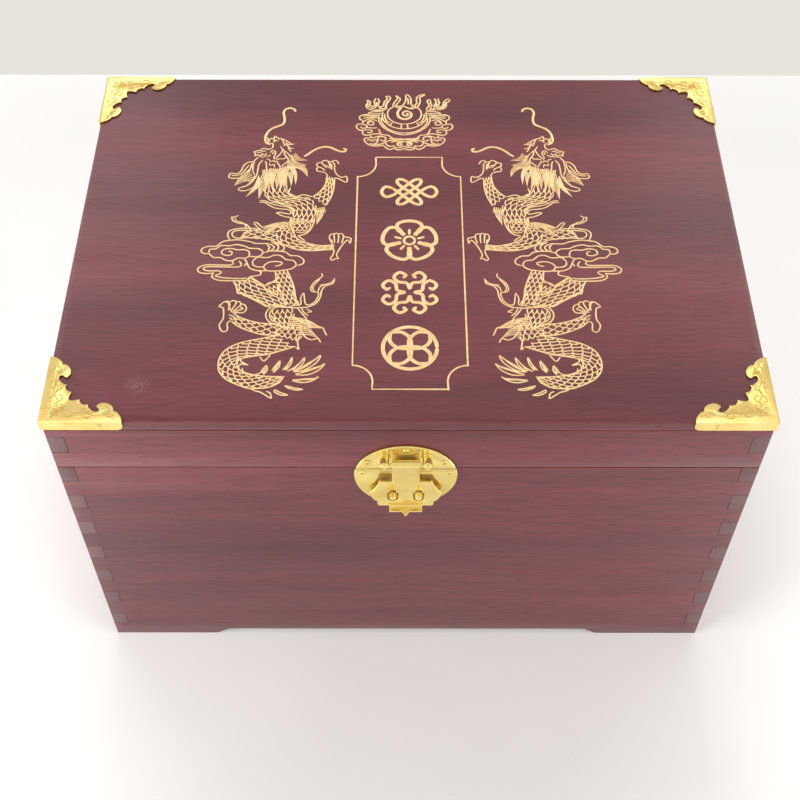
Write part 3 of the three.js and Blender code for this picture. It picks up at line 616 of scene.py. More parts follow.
second_claw = (
    (-51.6, -10.8, -53.8, -5.4, -53.4, -1.8, -51.2, -1, -50.6, -5, -50.4, -9.6),
    (-51.2, -1.4, -49.6, -0.4, -48, -1, -47.7, -5, -48, -9.6),
    (-48, -1.2, -46.2, -0.6, -44.5, -2, -44.6, -5.6, -45.6, -9.8),
    (-44.4, -3.6, -41.6, -4.2, -39.2, -5.2, -39.8, -9.4, -41.2, -6.6, -43.2, -8.4, -45.6, -12.4, -47.6, -17,
     -48.6, -21, -47.4, -23.6, -49.6, -24, -51.2, -25.6, -52.6, -24, -51.2, -20.6, -50.4, -17, -51.2, -14.8),
    (-52.6, -6, -51.8, -9.6),
)
draw(0.95, second_claw)
print("strokes down to the elbow:", len(carving))

# %% [markdown]
# Clouds are drawn in the old way, as lobes that roll up into a curl, with ribbons trailing between
# them. They lie over the body, so no scales are drawn where they pass.

# %% Clouds and ribbons
clouds = (
    (-120.6, -7, -126, -8.2, -130.4, -12.6, -135, -12.6, -139.4, -14.6, -139.8, -18, -136.8, -19.6,
     -134.6, -19),
    (-126, -8.2, -120, -6.9, -115, -6.7, -107.4, -8.4, -103.6, -10, -95, -10),
    (-134.8, -18.6, -134.2, -15.4, -130.4, -15, -127, -12, -121.4, -12.2, -116.4, -11, -110.4, -12.8,
     -107.8, -14.4, -101.2, -15, -98.2, -18.4, -101, -22, -107.4, -22),
    (-107.4, -21.8, -107.6, -18, -110.4, -15.9, -116, -15.9, -120, -14.7, -125, -15.6, -126.2, -19,
     -123, -21, -119.4, -20.4, -119.4, -17.6, -121.8, -17.2),
    (-134.8, -19, -131.4, -22.8, -126.4, -23.2, -123, -25.4, -118.6, -26, -114.6, -23.4, -110.6, -23.8,
     -107.2, -22),
    (-97.8, -18.6, -94, -17.2, -88.6, -17, -83, -18, -79.8, -21, -74.6, -21.6, -70.6, -25, -71, -28.6,
     -74.6, -30.2),
    (-104.8, -26.4, -101.6, -22.8, -95, -23, -90.4, -20.8, -86, -21.4, -82.4, -24.8, -77.4, -25.8,
     -75.4, -29.8, -79, -33.4, -85.6, -34.8),
    (-89.6, -30.8, -86, -29.8, -84.9, -27.6, -89.4, -26.5, -94.6, -27.8, -97, -31.4, -94.6, -34.8,
     -89.4, -35.2, -85.6, -34.8),
    (-104.8, -26.4, -104, -30, -100.4, -31.6, -97, -31.4),
    (-108.4, -27.8, -106.4, -32.4, -101.4, -34.8, -94.6, -35),
    (-118.8, -26, -117.4, -28.4, -120, -29.9, -127.4, -29.8, -136.6, -30, -140.8, -33, -139.6, -36.4,
     -134.6, -37.6, -130.2, -37.2, -131, -40.2, -126.6, -43.4, -116, -44, -107.6, -43.6, -105.8, -40.6,
     -102, -39.6, -98.6, -38.4, -98.8, -35.8, -100.6, -35),
    (-114, -26, -112.2, -29, -113.4, -31.4, -122, -31.6, -134, -31.4, -137.2, -33.2, -134.4, -35,
     -126.6, -35.2, -125, -37, -128.4, -39.6, -122, -41.4, -112, -42, -107.4, -41.4),
    (-110.6, -24, -108.6, -27.6, -110.2, -30.8),
    (-95, -10, -91.2, -12.8, -92, -15.6, -95.4, -17.6),
    (-93.4, -8.4, -88.6, -11.8, -88.4, -15.4, -91.4, -17.2),
    (-89.6, -8.8, -84.8, -12.4, -84.4, -15.4, -86.4, -17.2),
    (-96.2, -10.6, -94.2, -13.6, -95.4, -16.6),
)
draw(1.05, clouds)
print("strokes with the clouds:", len(carving))

# %% [markdown]
# Below the clouds the body comes out again and thins towards the tail. The hind leg, its claw and
# the flame-like tufts at the joint are drawn like the ones above.

# %% Dragon: hind body, leg and claw
scales(7, 4, (-116, -44.4, -113.4, -50, -112, -54.8, -101, -61, -93, -66.4),
       (-104.4, -41.6, -97.6, -47.2, -91.4, -52.4, -84.6, -57.6, -78, -65), edges=False)
scales(8, 3, (-88.8, -35.4, -88, -43, -86.4, -50, -83, -57.6, -81.6, -64.4),
       (-81.2, -34.4, -78.4, -42, -76, -50, -74.2, -58, -71.6, -65), edges=False)
scales(3, 3, (-96, -49.6, -93, -53, -89.6, -56.6), (-86.4, -47, -85, -52, -83, -56.6), edges=False)
stroke(1.0, -89, -35.2, -88.2, -42.6, -90.4, -45, -94.2, -48, -97, -47, -104.8, -40.8)
stroke(1.0, -94.4, -47.6, -92.2, -45.6, -88.4, -45.2, -85.4, -45.4)
stroke(1.0, -81.4, -34.2, -78.8, -40.6, -75.8, -50, -74.2, -60, -72, -64.4)
stroke(1.0, -116.4, -44, -113.8, -49.6, -112.6, -55, -109.4, -55.6, -101, -61, -92.6, -66.8)
stroke(0.9, -111.4, -53.6, -104.4, -58, -96.4, -63.2, -90.4, -67.4)
stroke(0.9, -106.4, -41, -99.6, -45.6, -95.2, -50.4, -93.4, -53.6)
tuft(4, 1.6, -79.4, -52, -76.4, -60, -74.2, -55.4, 0.0)
stroke(1.0, -93, -66, -88, -65, -83, -65.6, -77.6, -67.4, -70.6, -67.4, -65.4, -66.6, -60.6, -63.4,
       -58.2, -58.2, -57.4, -52.4, -55, -48.4, -50.2, -46.2, -49.4, -41.6)
stroke(0.9, -86.6, -66.4, -80.4, -67.2, -75, -65.4, -70.8, -64.8, -71, -59, -69.3, -55, -68.6, -58.4,
       -67.6, -64.2, -64.4, -64.8, -61, -61.4, -59.4, -56.2, -60, -54, -63.4, -53.6, -64.8, -50.6,
       -63.2, -46, -60, -42.4, -57.6, -40, -58, -37)
stroke(0.9, -62.2, -53.4, -63.4, -50, -61.4, -45.6, -58.8, -42.4)
stroke(0.9, -59.8, -53.4, -58.8, -49.6, -55.6, -47.4, -51.6, -45.6, -49.4, -42.6)
stroke(0.9, -59, -47.8, -54.4, -46.8)
stroke(1.0, -79.6, -66.8, -85, -65.8, -90, -67.4, -92.8, -71.6, -92.4, -76.4, -89.4, -80.4, -85.4, -81.4)
stroke(0.9, -82, -66.4, -87, -67.4, -90, -70.6, -90.4, -74.6, -88.4, -78.6, -84.8, -79.8)
scales(4, 4, (-88.6, -69.4, -89.4, -74, -86.4, -79.6, -82.2, -84.6), (-76.4, -68, -74.6, -73, -74.4, -79,
       -74, -86), edges=False)
scales(4, 4, (-84, -84.4, -86, -87.4, -84.8, -91), (-69.6, -76.4, -69, -86, -71.4, -96), edges=False)
scales(8, 2, (-112.8, -73.6, -107.6, -76.8, -98, -80.2, -84.6, -82), (-115, -79, -110, -83.6, -102, -87.6,
       -94, -90.2, -84.6, -91))
hind_claw = (
    (-115.6, -70.2, -117.4, -66.4, -118, -63.4, -120.6, -62.4, -122.2, -64, -124, -66.6, -121.4, -67.4,
     -120.6, -70.6, -120.4, -77, -122.4, -82, -121.2, -86.4, -119.2, -88, -117, -86.4, -117.4, -80.6,
     -115.2, -78.6),
    (-120.6, -62.8, -118.6, -61.8, -117, -64.4, -117.6, -70),
    (-117.2, -62.6, -114.6, -61.2, -113, -63.4, -114.6, -67.6, -116, -71.6),
    (-113.4, -62.4, -110.8, -62.4, -109.8, -65, -112.4, -68.4, -115, -72),
    (-109.8, -64, -106.8, -65.6, -106, -69.4, -108, -71.8, -111.6, -71.8, -114, -73.8),
    (-110.4, -66.4, -108.4, -68.4, -111.4, -70, -114, -72.4),
    (-117, -73.4, -113.4, -75.6, -111, -77.6),
    (-116.6, -76, -113.6, -78.4),
)
draw(0.95, hind_claw)
tuft(7, 2.1, -78.4, -75.4, -72, -86.6, -55.2, -85, 0.1)
tuft(5, 2.0, -73.4, -82, -70.6, -90.4, -57.6, -93.4, 0.12)
tuft(4, 1.9, -76.4, -74.8, -72.4, -78.6, -62.4, -86, 0.1)
stroke(1.0, -67, -75.4, -65.4, -80.4, -62.6, -83.6, -58.4, -84, -55.6, -84.6, -54.4, -87.6, -52.8, -91)
stroke(1.0, -69.6, -87, -66.4, -92.4, -62.4, -94.6, -58.4, -93.4, -56.6, -96.8)
stroke(0.9, -72.8, -67.6, -69.6, -72.4, -66.6, -76.4)
stroke(0.9, -70.2, -67.4, -68.4, -71.4, -65.2, -74.6)
stroke(0.9, -67, -68.4, -63.6, -70.8, -66.4, -71.4)
stroke(1.0, -68.6, -91.6, -71.2, -95.4, -70.4, -102.2, -72.4, -100.4)
print("strokes down to the hind leg:", len(carving))

# %% [markdown]
# The tail is the longest band of scales, bent into an open ring. Its fin fans out in leaf-shaped
# spines, most of them with a rib down the middle. Then the whole dragon is mirrored.

# %% Dragon: tail and its fin
scales(24, 3, (-84.6, -91, -95, -93.6, -108, -97.2, -116, -102.4, -119.6, -108.4, -120.4, -114.6,
       -119, -121, -114, -127, -106, -131.4, -99, -133.8, -88, -133, -81.6, -129.6),
       (-72.6, -100, -81, -103.4, -89, -106.4, -95, -107.4, -102, -108.8, -107.6, -111, -108.6, -115,
        -106, -119.6, -101, -122.6, -95, -123.6, -88, -124.4, -79.2, -124.6))
stroke(1.0, -81.4, -129.8, -78.4, -124)
stroke(1.0, -88, -107, -89.6, -109.4, -92, -112, -94.6, -108.6)
stroke(1.0, -106.6, -110.6, -106, -112.6, -102.2, -115, -106.4, -114.4, -107.4, -117)
stroke(0.9, -104.8, -117.6, -104.4, -120.4, -99, -122.8, -95.6, -122.6, -91.2, -120)
fin = (
    (-93.2, -121, -92, -118.6, -90, -115.8, -89.4, -119.4, -91.6, -123),
    (-86.4, -120, -84.4, -116, -81.8, -112.2, -82.2, -117, -85.4, -121.4),
    (-79.6, -119.4, -76.4, -114.4, -74.2, -109.4, -74.6, -114, -77.6, -119.6),
    (-76.6, -120.4, -70.6, -115.6, -66.4, -109.6, -67.4, -114.4, -72.6, -120.6),
    (-72.6, -120.8, -64.4, -115.6, -56.4, -107.6, -58.8, -113.4, -66, -119.2, -72.6, -120.8),
    (-71.4, -122.6, -64, -120, -58, -117.4, -53.6, -114.4, -57.4, -119.6, -64, -123, -71.4, -123),
    (-73, -127, -66, -126.8, -61, -126.6, -57.2, -124.8, -61.8, -128.2, -67.6, -129, -73.2, -127.6),
    (-77.8, -131.4, -75.2, -133.6, -70.4, -135, -66.8, -134.4, -72.4, -133.2, -77.6, -131.4),
    (-83.6, -134.6, -80.4, -136.8, -75.8, -138.8, -79.6, -138.9, -83.8, -136.4, -83.6, -134.6),
    (-89, -136, -86.4, -137.4, -85.6, -141.2, -88.4, -139.6, -92.6, -136.6, -95.6, -135.8, -99, -133.8),
)
draw(0.95, fin)
ribs = (
    (-91.4, -122, -90, -117),
    (-85, -120.6, -82, -113.4),
    (-78, -119, -74.6, -110.8),
    (-73.4, -119.6, -67, -111),
    (-69, -118.6, -57.6, -108.8),
    (-68, -121.4, -54.8, -115.2),
    (-70.6, -127.2, -58.4, -125.6),
    (-75.4, -132.4, -68, -134.2),
)
for x, y, tip_x, tip_y in ribs:
    lock(1.5, x, y, (x + tip_x) / 2 - 0.3, (y + tip_y) / 2, tip_x, tip_y)
mirrored(dragon_start, about=0.5)
print("strokes of both dragons:", len(carving) - dragon_start)

# %% [markdown]
# The flaming pearl lies above the panel. Its bowl and its scrolls of cloud are alike on both sides,
# so one half is drawn and mirrored. The flames lean, so each tongue is drawn by itself.

# %% Flaming pearl
pearl_start = len(carving)
pearl_half = (
    (-10.6, 129.8, -14.2, 126, -15.2, 121, -14, 116.4, -10.6, 112.8, -6.4, 110.8, -2.7, 110.4),
    (-18.6, 124, -19, 120, -18.4, 115.4, -15.6, 111, -11.6, 107.4, -7, 105.6, -2.7, 105.1),
    (-21.4, 119, -21.4, 113.4, -18.6, 107.4, -14, 103, -8.6, 100, -2.7, 98.6),
    (-20, 117.4, -19, 111.4, -15.6, 106, -11, 102.6, -6.4, 101, -2.7, 100.8),
    (-21.8, 105.2, -20.2, 100.8, -18.4, 98.8, -14.4, 98.2, -11.4, 95, -6.6, 94.4, -2.7, 94.3),
    (-17.4, 121.6, -17, 117, -15.4, 113.6),
    (-17.4, 113.4, -15.2, 112.8, -13.2, 112),
    (-13, 108.4, -12.4, 110.6, -11.4, 112),
    (-5.4, 105.6, -5, 108, -5, 110.2),
    (-11.4, 130.4, -8.6, 129.2, -7, 127.6),
    (-18.6, 124.4, -22, 126, -25.8, 125.4),
    (-19.4, 124.2, -24, 124, -28.6, 123, -29.6, 120.9, -33.4, 120.4, -35.8, 118.2, -35.2, 115.4, -33.4, 114,
     -33.6, 110.4, -36.6, 110.4, -38, 107.8, -36.4, 104.4, -33.2, 103.6, -29.6, 104.4),
    (-29.8, 121.4, -24.4, 121.6, -19.6, 122),
    (-33.6, 119, -29.6, 119.6, -24, 119.8, -20.4, 120.4),
    (-22, 117, -26.8, 116.8, -31.4, 114.2, -33, 112.4),
    (-22.2, 118.6, -28, 118, -33.2, 116.4),
    (-22.6, 113.6, -25.2, 115, -28.4, 114, -29.8, 111.4, -28, 109.4, -24.8, 109.6),
    (-29.4, 112, -27, 113, -25, 111.8, -26, 110.4),
    (-33.6, 109.6, -30.6, 109.2, -30.4, 106.4, -33.4, 105.8, -34.8, 107.6),
    (-30.4, 106.6, -26, 106, -22.6, 106.4),
    (-29.6, 104.4, -26.2, 103.2, -27.4, 101, -30.2, 101.6),
    (-32.8, 103.4, -33.4, 100.6, -31.6, 98.4, -28.4, 98.6, -25.4, 99.6, -21, 99.8, -18.4, 98.8),
    (-27.6, 98, -26.2, 95.4, -22.4, 97, -19, 97.6),
    (-27.4, 95.4, -31.4, 95.2, -31.8, 92.6, -30, 89.6, -27, 87.4, -22.4, 86.8, -18.4, 87.6, -16.6, 85.4,
     -13, 83, -10.8, 84.6, -9.2, 83.6, -6.6, 82.7, -4.2, 83.4, -2.7, 84.6),
    (-30, 92.8, -27.8, 93.6, -26.2, 92, -24.4, 93.6, -22.4, 92.4, -22.8, 90, -25, 90),
    (-21.4, 92.4, -22.2, 95.2, -19.6, 97, -16.6, 95.8, -16.6, 93, -19, 92.2, -20, 94),
    (-28, 89.4, -24, 88.4, -19, 89.2, -16, 91.4, -13, 92.6, -9.6, 92.6, -6.6, 93.8, -2.7, 93.2),
    (-14, 94.6, -11.4, 94.2, -9, 93.4),
    (-16.4, 91, -15.6, 88, -12.8, 86.4, -10.4, 87, -9.6, 85.4, -6.8, 85, -4.6, 85.8, -2.7, 86.6),
    (-12.6, 90.6, -10, 91.6, -7.4, 92.2, -4.4, 91.8, -2.7, 91),
)
draw(1.1, pearl_half)
spiral(1.3, -6, 88.8, 0.6, 2.6, 200, -520)
mirrored(pearl_start, about=-2.7)
stroke(2.0, -4.8, 128.6, -7.2, 125, -7.7, 120.8, -6, 117.2, -2.2, 115.7, 1.2, 117.4, 2.4, 120.8, 1.4, 123.6)
stroke(1.5, 1.4, 123.6, -1.2, 124.8, -3.5, 123.4, -3.9, 121, -2.3, 119.4, -0.4, 120, -0.4, 121.7, -1.7, 122.3)
stroke(1.3, -10, 129.6, -6.4, 128.6, -3.4, 130, -0.8, 128.4, 2.2, 127.2, 5.4, 128.4, 8, 130)
flames = (
    (-30.6, 137, -28, 134.8, -28.4, 131.6, -26.4, 129.7, -24.5, 131.6, -25.2, 135, -23.9, 138.9),
    (-30.6, 137, -29.8, 134, -31.2, 131, -29.6, 127.2, -25.6, 125.6, -20.4, 124.9, -16.4, 126.6),
    (-29.9, 133.4, -29.8, 130.6, -27.4, 127.9, -24.6, 128.2, -23.5, 131, -23.4, 134.8),
    (-22.7, 138.9, -21.3, 135.4, -22.5, 131.4, -20.3, 129, -18.2, 131.2, -17.6, 135, -15.6, 138, -16.6,
     141.4),
    (-21.6, 130.4, -20.2, 127, -17, 128.2, -16.4, 132, -14.8, 136.6),
    (-15.6, 141.6, -13, 139.4, -14.7, 135, -16.2, 131, -15.8, 126.6),
    (-9.3, 142, -7.8, 138.8, -10, 134.6, -11.4, 130.4),
    (-8.8, 142, -5.8, 138.2, -7.4, 134, -9, 131, -6, 129.9, -3.7, 131.4, -2.3, 134.4, -1.5, 138.4, -1.9,
     142.6),
    (-1.4, 143.6, 0.9, 141.4, 2.3, 137.4, 2, 133.6, 3, 131.2, 4.6, 130.8, 6.5, 133.6, 6.2, 137.4,
     6.8, 140.4, 9, 142.4, 12.9, 143.6),
    (12.9, 142.7, 10.2, 141, 8.7, 139.4, 9.1, 135.2, 8, 131.8, 7.4, 129.6),
    (-0.4, 139, 0.2, 135.4, 0, 132),
    (13.4, 125.8, 14.4, 128.7, 15.8, 131, 14.4, 134.4, 14.5, 136.6, 16.3, 137.8),
    (16.9, 137, 16.6, 134.2, 17.7, 131, 16.6, 128.4, 16.9, 126.4),
    (19.2, 128.4, 19.8, 131.8, 21.1, 135, 20, 137.2, 20.4, 138.8),
    (22.5, 138.8, 22.6, 136.4, 23.4, 133.6, 22.3, 131.4, 23, 129.6, 24.6, 129.4, 25.9, 131, 26.3, 134,
     28, 136.8, 30.4, 138.8),
    (31.2, 137.6, 30.4, 135.2, 28.6, 133.8, 28.3, 130.6, 26.4, 127.4, 22.4, 126.4, 19.2, 127.4, 16.8, 125.2),
    (21.4, 133, 21, 129.6, 22.8, 127.9, 25.6, 128.6, 27.2, 131.6, 28.4, 135),
)
draw(1.15, flames)
print("strokes of the pearl:", len(carving) - pearl_start)

# %% [markdown]
# Between the dragons a plain line frames a panel with hollow corners. Four bold old patterns fill
# it: an endless knot, a plum blossom, a cross of scrolls and a round coin pattern. Each is drawn
# about its own middle in units of its half height, so all four come out the same size.

# %% Framed panel
def ring(x, y, radius, start=0, sweep=360, steps=12):
    flat = []
    for step in range(steps + 1):
        angle = math.radians(start + sweep * step / steps)
        flat += [x + radius * math.cos(angle), y + radius * math.sin(angle)]
    return flat


frame_line = [
    -23.3, 75, 24.3, 75,
    *ring(36.9, 68, 12.9, 180, 90, 8),
    *ring(36.9, -128.3, 12.9, 90, 90, 8),
    24.3, -134.3, -23.3, -134.3,
    *ring(-35.9, -128.3, 12.9, 0, 90, 8),
    *ring(-35.9, 68, 12.9, -90, 90, 8),
]
stroke(1.15, *frame_line, closed=True, straight=True)
panel_middle = 0.5


def pattern(middle_y, half, width, lines):
    for flat in lines:
        middles = [panel_middle, middle_y] * (len(flat) // 2)
        points = [half * value + middle for value, middle in zip(flat, middles)]
        stroke(width, *points)


def turned_by(flat, degrees):
    turn = complex(math.cos(math.radians(degrees)), math.sin(math.radians(degrees)))
    places = [turn * complex(x, y) for x, y in zip(flat[::2], flat[1::2])]
    return [value for place in places for value in (place.real, place.imag)]


knot = [-0.3, 0.56, -0.3, 0, -0.3, -0.56, -0.15, -0.74, 0, -0.56, 0, 0, 0, 0.56, 0.15, 0.74, 0.3, 0.56,
        0.3, 0,
        0.3, -0.56, 0.44, -0.8, 0.72, -0.72, 0.8, -0.44, 0.56, -0.3, 0, -0.3, -0.56, -0.3, -0.74, -0.15,
        -0.56, 0, 0, 0, 0.56, 0, 0.74, 0.15, 0.56, 0.3, 0, 0.3, -0.56, 0.3, -0.8, 0.44, -0.72, 0.72,
        -0.44, 0.8, -0.3, 0.56]
petal = [0.16, 0.28, 0.44, 0.56, 0.4, 0.88, 0, 1.0, -0.4, 0.88, -0.44, 0.56, -0.16, 0.28]
stamen = [0, 0.3, 0, 0.58]
scroll = [0, 0.14, 0.1, 0.44, 0.4, 0.5, 0.56, 0.74, 0.36, 0.96, 0.14, 0.82, 0.24, 0.68]
left_scroll = [value * (1 if index % 2 else -1) for index, value in enumerate(scroll)]
leaf = [0, 1, 0.3, 0.7, 0.3, 0.3, 0, 0, -0.3, 0.3, -0.3, 0.7, 0, 1]
blossom = [turned_by(petal, 72 * turn) for turn in range(5)]
stamens = [turned_by(stamen, 72 * turn) for turn in range(5)]
cross = [turned_by(arm, 90 * turn) for turn in range(4) for arm in (scroll, left_scroll)]
leaves = [turned_by(leaf, 45 + 90 * turn) for turn in range(4)]
pattern(40, 19, 2.5, [turned_by(knot, 45)])
pattern(-7, 18.5, 2.7, blossom)
pattern(-7, 18.5, 1.9, [*stamens, ring(0, 0, 0.2)])
pattern(-54, 18.5, 2.4, cross)
pattern(-101, 18, 2.5, [ring(0, 0, 0.96, steps=24), *leaves])
print("carved strokes:", len(carving), "points:", sum(len(points) for points, *_ in carving))

# %% [markdown]
# Gold paint lies in the bottom of every groove. It is a paint with metal flakes, so it is only
# partly metallic, fairly matt, and a little uneven where the brush left more or less of it.

# %% Gold paint
def gold_paint(name):
    material, tree, shader = new_material(name)
    place = object_place(tree)
    coats = noise(tree, place, scale=260)
    thin = (0.84, 0.56, 0.24)
    usual = (0.95, 0.70, 0.37)
    thick = (1.0, 0.83, 0.54)
    colour = ramp(tree, coats, (0.25, thin), (0.5, usual), (0.8, thick))
    tree.links.new(colour, shader.inputs["Base Color"])
    grit = noise(tree, place, scale=2600, detail=2)
    tree.links.new(ramp(tree, grit, (0.3, 0.34), (0.7, 0.52)), shader.inputs["Roughness"])
    shader.inputs["Metallic"].default_value = 0.15
    lift(tree, shader, grit, 0.3, 0.05 * mm)
    return material


gilt = gold_paint("gold_paint")

# %% [markdown]
# All strokes become one curve whose radius is the width of the cut at each point. Geometry Nodes will
# sweep the bit's V profile along it. Where a stroke bends so sharply that the swept wedge would fold
# over itself, it is parted into two runs whose ends overlap, because a Boolean needs clean solids.

# %% The strokes as a curve on the lid
board_low, board_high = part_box("lid_top_board")
lid_middle = (board_low + board_high) / 2
carving_shift = Vector((0.5, -0.5))
wedge_size = 1.25
least_step = 0.12
least_clearance = 0.45
most_turn = math.radians(160)


def runs(points, widths, closed):
    spots = list(zip(points, widths))
    if closed:
        spots.append(spots[0])
    steps = zip(spots, spots[1:])
    spots = [spots[0]] + [b for a, b in steps if (b[0] - a[0]).length > least_step * b[1]]
    run = [spots[0]]
    turned_so_far = 0.0
    for (a, _), (b, width), (c, _) in zip(spots, spots[1:], spots[2:]):
        run.append((b, width))
        back = b - a
        on = c - b
        half = wedge_size / 2 * width
        turn = back.angle(on)
        turned_so_far += turn
        overlap = half * math.sin(turn / 2) > least_clearance * min(back.length, on.length)
        if overlap or turned_so_far > most_turn:
            past = half * min(1.0, max(0.15, math.tan(turn / 2)))
            run[-1] = (b + back.normalized() * past, width)
            yield run
            run = [(b - on.normalized() * past, width)]
            turned_so_far = 0.0
    yield [*run, spots[-1]]


def add_line(curve, points, widths):
    spline = curve.splines.new("POLY")
    spline.points.add(len(points) - 1)
    for control, point, width in zip(spline.points, points, widths):
        control.co = (*point, 1)
        control.radius = width * mm


def strokes_on_lid():
    curve = bpy.data.curves.new("carved_strokes", "CURVE")
    curve.dimensions = "3D"
    for run in (run for drawn in carving for run in runs(*drawn)):
        on_lid = [(point + carving_shift) * mm for point, _ in run]
        places = [(lid_middle.x + x, lid_middle.y + y, board_high.z) for x, y in on_lid]
        add_line(curve, places, [width for _, width in run])
    print("cutting runs:", len(curve.splines))
    return new_object("carved_strokes", curve)


carved_strokes = strokes_on_lid()

# %% [markdown]
# The bit's section is a triangle. It is a quarter larger than the cut, so that it stands a little
# above the board and the Boolean never meets two faces in one plane. Every run is a separate closed
# wedge, and one Boolean cuts all of them out of the board. Real cuts catch light and shade from any
# side, which a painted pattern could not, and their walls keep the gold paint's material.

# %% A Geometry Nodes tree that cuts V grooves
def new_geometry_tree(name, *inputs):
    tree = bpy.data.node_groups.new(name, "GeometryNodeTree")
    tree.interface.new_socket("Geometry", in_out="INPUT", socket_type="NodeSocketGeometry")
    for label, kind, value in inputs:
        socket = tree.interface.new_socket(label, in_out="INPUT", socket_type="NodeSocket" + kind)
        if value is not None:
            socket.default_value = value
    tree.interface.new_socket("Geometry", in_out="OUTPUT", socket_type="NodeSocketGeometry")
    return tree, put(tree, "NodeGroupInput").outputs


def swept(tree, lines, section):
    lines = put(tree, "GeometryNodeObjectInfo", {"Object": lines}, transform_space="RELATIVE")
    level = put(tree, "GeometryNodeSetCurveNormal", {"Curve": lines.outputs["Geometry"]}, mode="Z_UP")
    width = put(tree, "GeometryNodeInputRadius").outputs[0]
    parts = {"Curve": level.outputs[0], "Profile Curve": section, "Scale": width, "Fill Caps": True}
    return put(tree, "GeometryNodeCurveToMesh", parts).outputs[0]


def groove_tree():
    tree, given = new_geometry_tree(
        "v_grooves",
        ("Strokes", "Object", None),
        ("Depth Share", "Float", 0.5),
        ("Paint", "Material", None),
    )
    triangle = put(tree, "GeometryNodeCurvePrimitiveCircle", {"Resolution": 3, "Radius": 1.0})
    triangle_height = 1.5
    deep = wedge_size / triangle_height
    height = reckon(tree, "MULTIPLY", given["Depth Share"], deep)
    size = {"X": height, "Y": wedge_size / math.sqrt(3), "Z": 1.0}
    drop = reckon(tree, "MULTIPLY", given["Depth Share"], 1 - deep)
    bit = {
        "Geometry": triangle.outputs["Curve"],
        "Scale": put(tree, "ShaderNodeCombineXYZ", size).outputs[0],
        "Rotation": (0, 0, math.pi / 2),
        "Translation": put(tree, "ShaderNodeCombineXYZ", {"Y": drop}).outputs[0],
    }
    bit = put(tree, "GeometryNodeTransform", bit)
    wedges = swept(tree, given["Strokes"], bit.outputs[0])
    island = put(tree, "GeometryNodeInputMeshIsland").outputs["Island Index"]
    each = put(tree, "GeometryNodeSplitToInstances", {"Geometry": wedges, "Group ID": island}, domain="FACE")
    painted = {"Geometry": each.outputs[0], "Material": given["Paint"]}
    painted = put(tree, "GeometryNodeSetMaterial", painted)
    cut = put(tree, "GeometryNodeMeshBoolean", operation="DIFFERENCE", solver="MANIFOLD")
    tree.links.new(given["Geometry"], cut.inputs[0])
    tree.links.new(painted.outputs[0], cut.inputs[1])
    whole = put(tree, "GeometryNodeRealizeInstances", {"Geometry": cut.outputs[0]})
    put(tree, "NodeGroupOutput", {"Geometry": whole.outputs[0]})
    print(tree.name, "nodes:", len(tree.nodes))
    return tree


cut_grooves = groove_tree()

# %% [markdown]
# A tree is grown on a seed object. Its inputs are set by their identifiers, the result is taken as a
# plain mesh, and the modifier and the scaffolding that it needed are cleared away afterwards.

# %% Growing a tree
def grown(seed, tree, **inputs):
    modifier = seed.modifiers.new(tree.name, "NODES")
    modifier.node_group = tree
    sockets = {item.name: item.identifier for item in tree.interface.items_tree if item.in_out == "INPUT"}
    for label, value in inputs.items():
        modifier[sockets[label.replace("_", " ")]] = value
    evaluated = seed.evaluated_get(bpy.context.evaluated_depsgraph_get())
    mesh = bpy.data.meshes.new_from_object(evaluated)
    seed.modifiers.clear()
    print("grown by", tree.name, "faces:", len(mesh.polygons))
    return mesh


def clear_away(*scaffolds):
    for scaffold in scaffolds:
        bpy.data.objects.remove(scaffold)


print("growing helpers:", [helper.__name__ for helper in (grown, clear_away)])

# %% [markdown]
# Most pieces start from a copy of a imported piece, whose loose triangles are merged so that its faces
# are whole again. A finished piece is smoothed over its rounded parts only, rides on the same body
# as the piece that it replaces, and keeps that piece's place.

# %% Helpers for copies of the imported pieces
smooth_below = math.radians(32)
bodies = frame["record"]["behaviour"]["bodies"]
held_by = {node: body for body, nodes in bodies.items() for node in nodes}


def merged(node):
    source = frame["nodes"][node].data
    shape = bmesh.new()
    corners = [shape.verts.new(vertex.co) for vertex in source.vertices]
    for polygon in source.polygons:
        shape.faces.new([corners[index] for index in polygon.vertices])
    bmesh.ops.remove_doubles(shape, verts=shape.verts, dist=1e-6)
    return shape


def flattened(node, flat_within=0.01):
    shape = merged(node)
    bmesh.ops.dissolve_limit(shape, angle_limit=flat_within, verts=shape.verts, edges=shape.edges)
    return shape


def soften(shape, edges, width, **options):
    bmesh.ops.bevel(shape, geom=edges, offset=width, segments=2, profile=0.5, affect="EDGES", **options)


def as_mesh(name, shape):
    mesh = bpy.data.meshes.new(name)
    shape.to_mesh(mesh)
    shape.free()
    return mesh


def as_piece(name, mesh, materials, body, *nodes):
    mesh.name = name
    for material in materials:
        mesh.materials.append(material)
    mesh.shade_smooth()
    mesh.set_sharp_from_angle(angle=smooth_below)
    piece = new_object(name, mesh)
    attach(piece, body)
    if nodes:
        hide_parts(*nodes)
    return piece


print("pieces on each body:", {body: len(nodes) for body, nodes in bodies.items()})

# %% [markdown]
# Every face of a board gets its finish from the way it looks: end grain where it is square to the
# grain, long grain on the other flat faces, and the lighter rubbed wood on the softened edges between
# them, which is partly wear and partly a painted highlight. The top board is first ruled into small
# cells, so that the Boolean only meets small faces, then carved.

# %% The carved top board
square_to_grain = 0.9
flat_face = 0.97
grid_cell = 12 * mm
groove_depth = 0.36


def finish_faces(faces, axis, long_grain=0, end_grain=1, rubbed_highlit_edge=2):
    along = Vector((axis == "X", axis == "Y", 0))
    for face in faces:
        if abs(face.normal.dot(along)) > square_to_grain:
            face.material_index = end_grain
        elif max(abs(value) for value in face.normal) < flat_face:
            # The softened edges get the lighter rubbed colour, partly wear and partly a painted highlight
            face.material_index = rubbed_highlit_edge
        else:
            face.material_index = long_grain


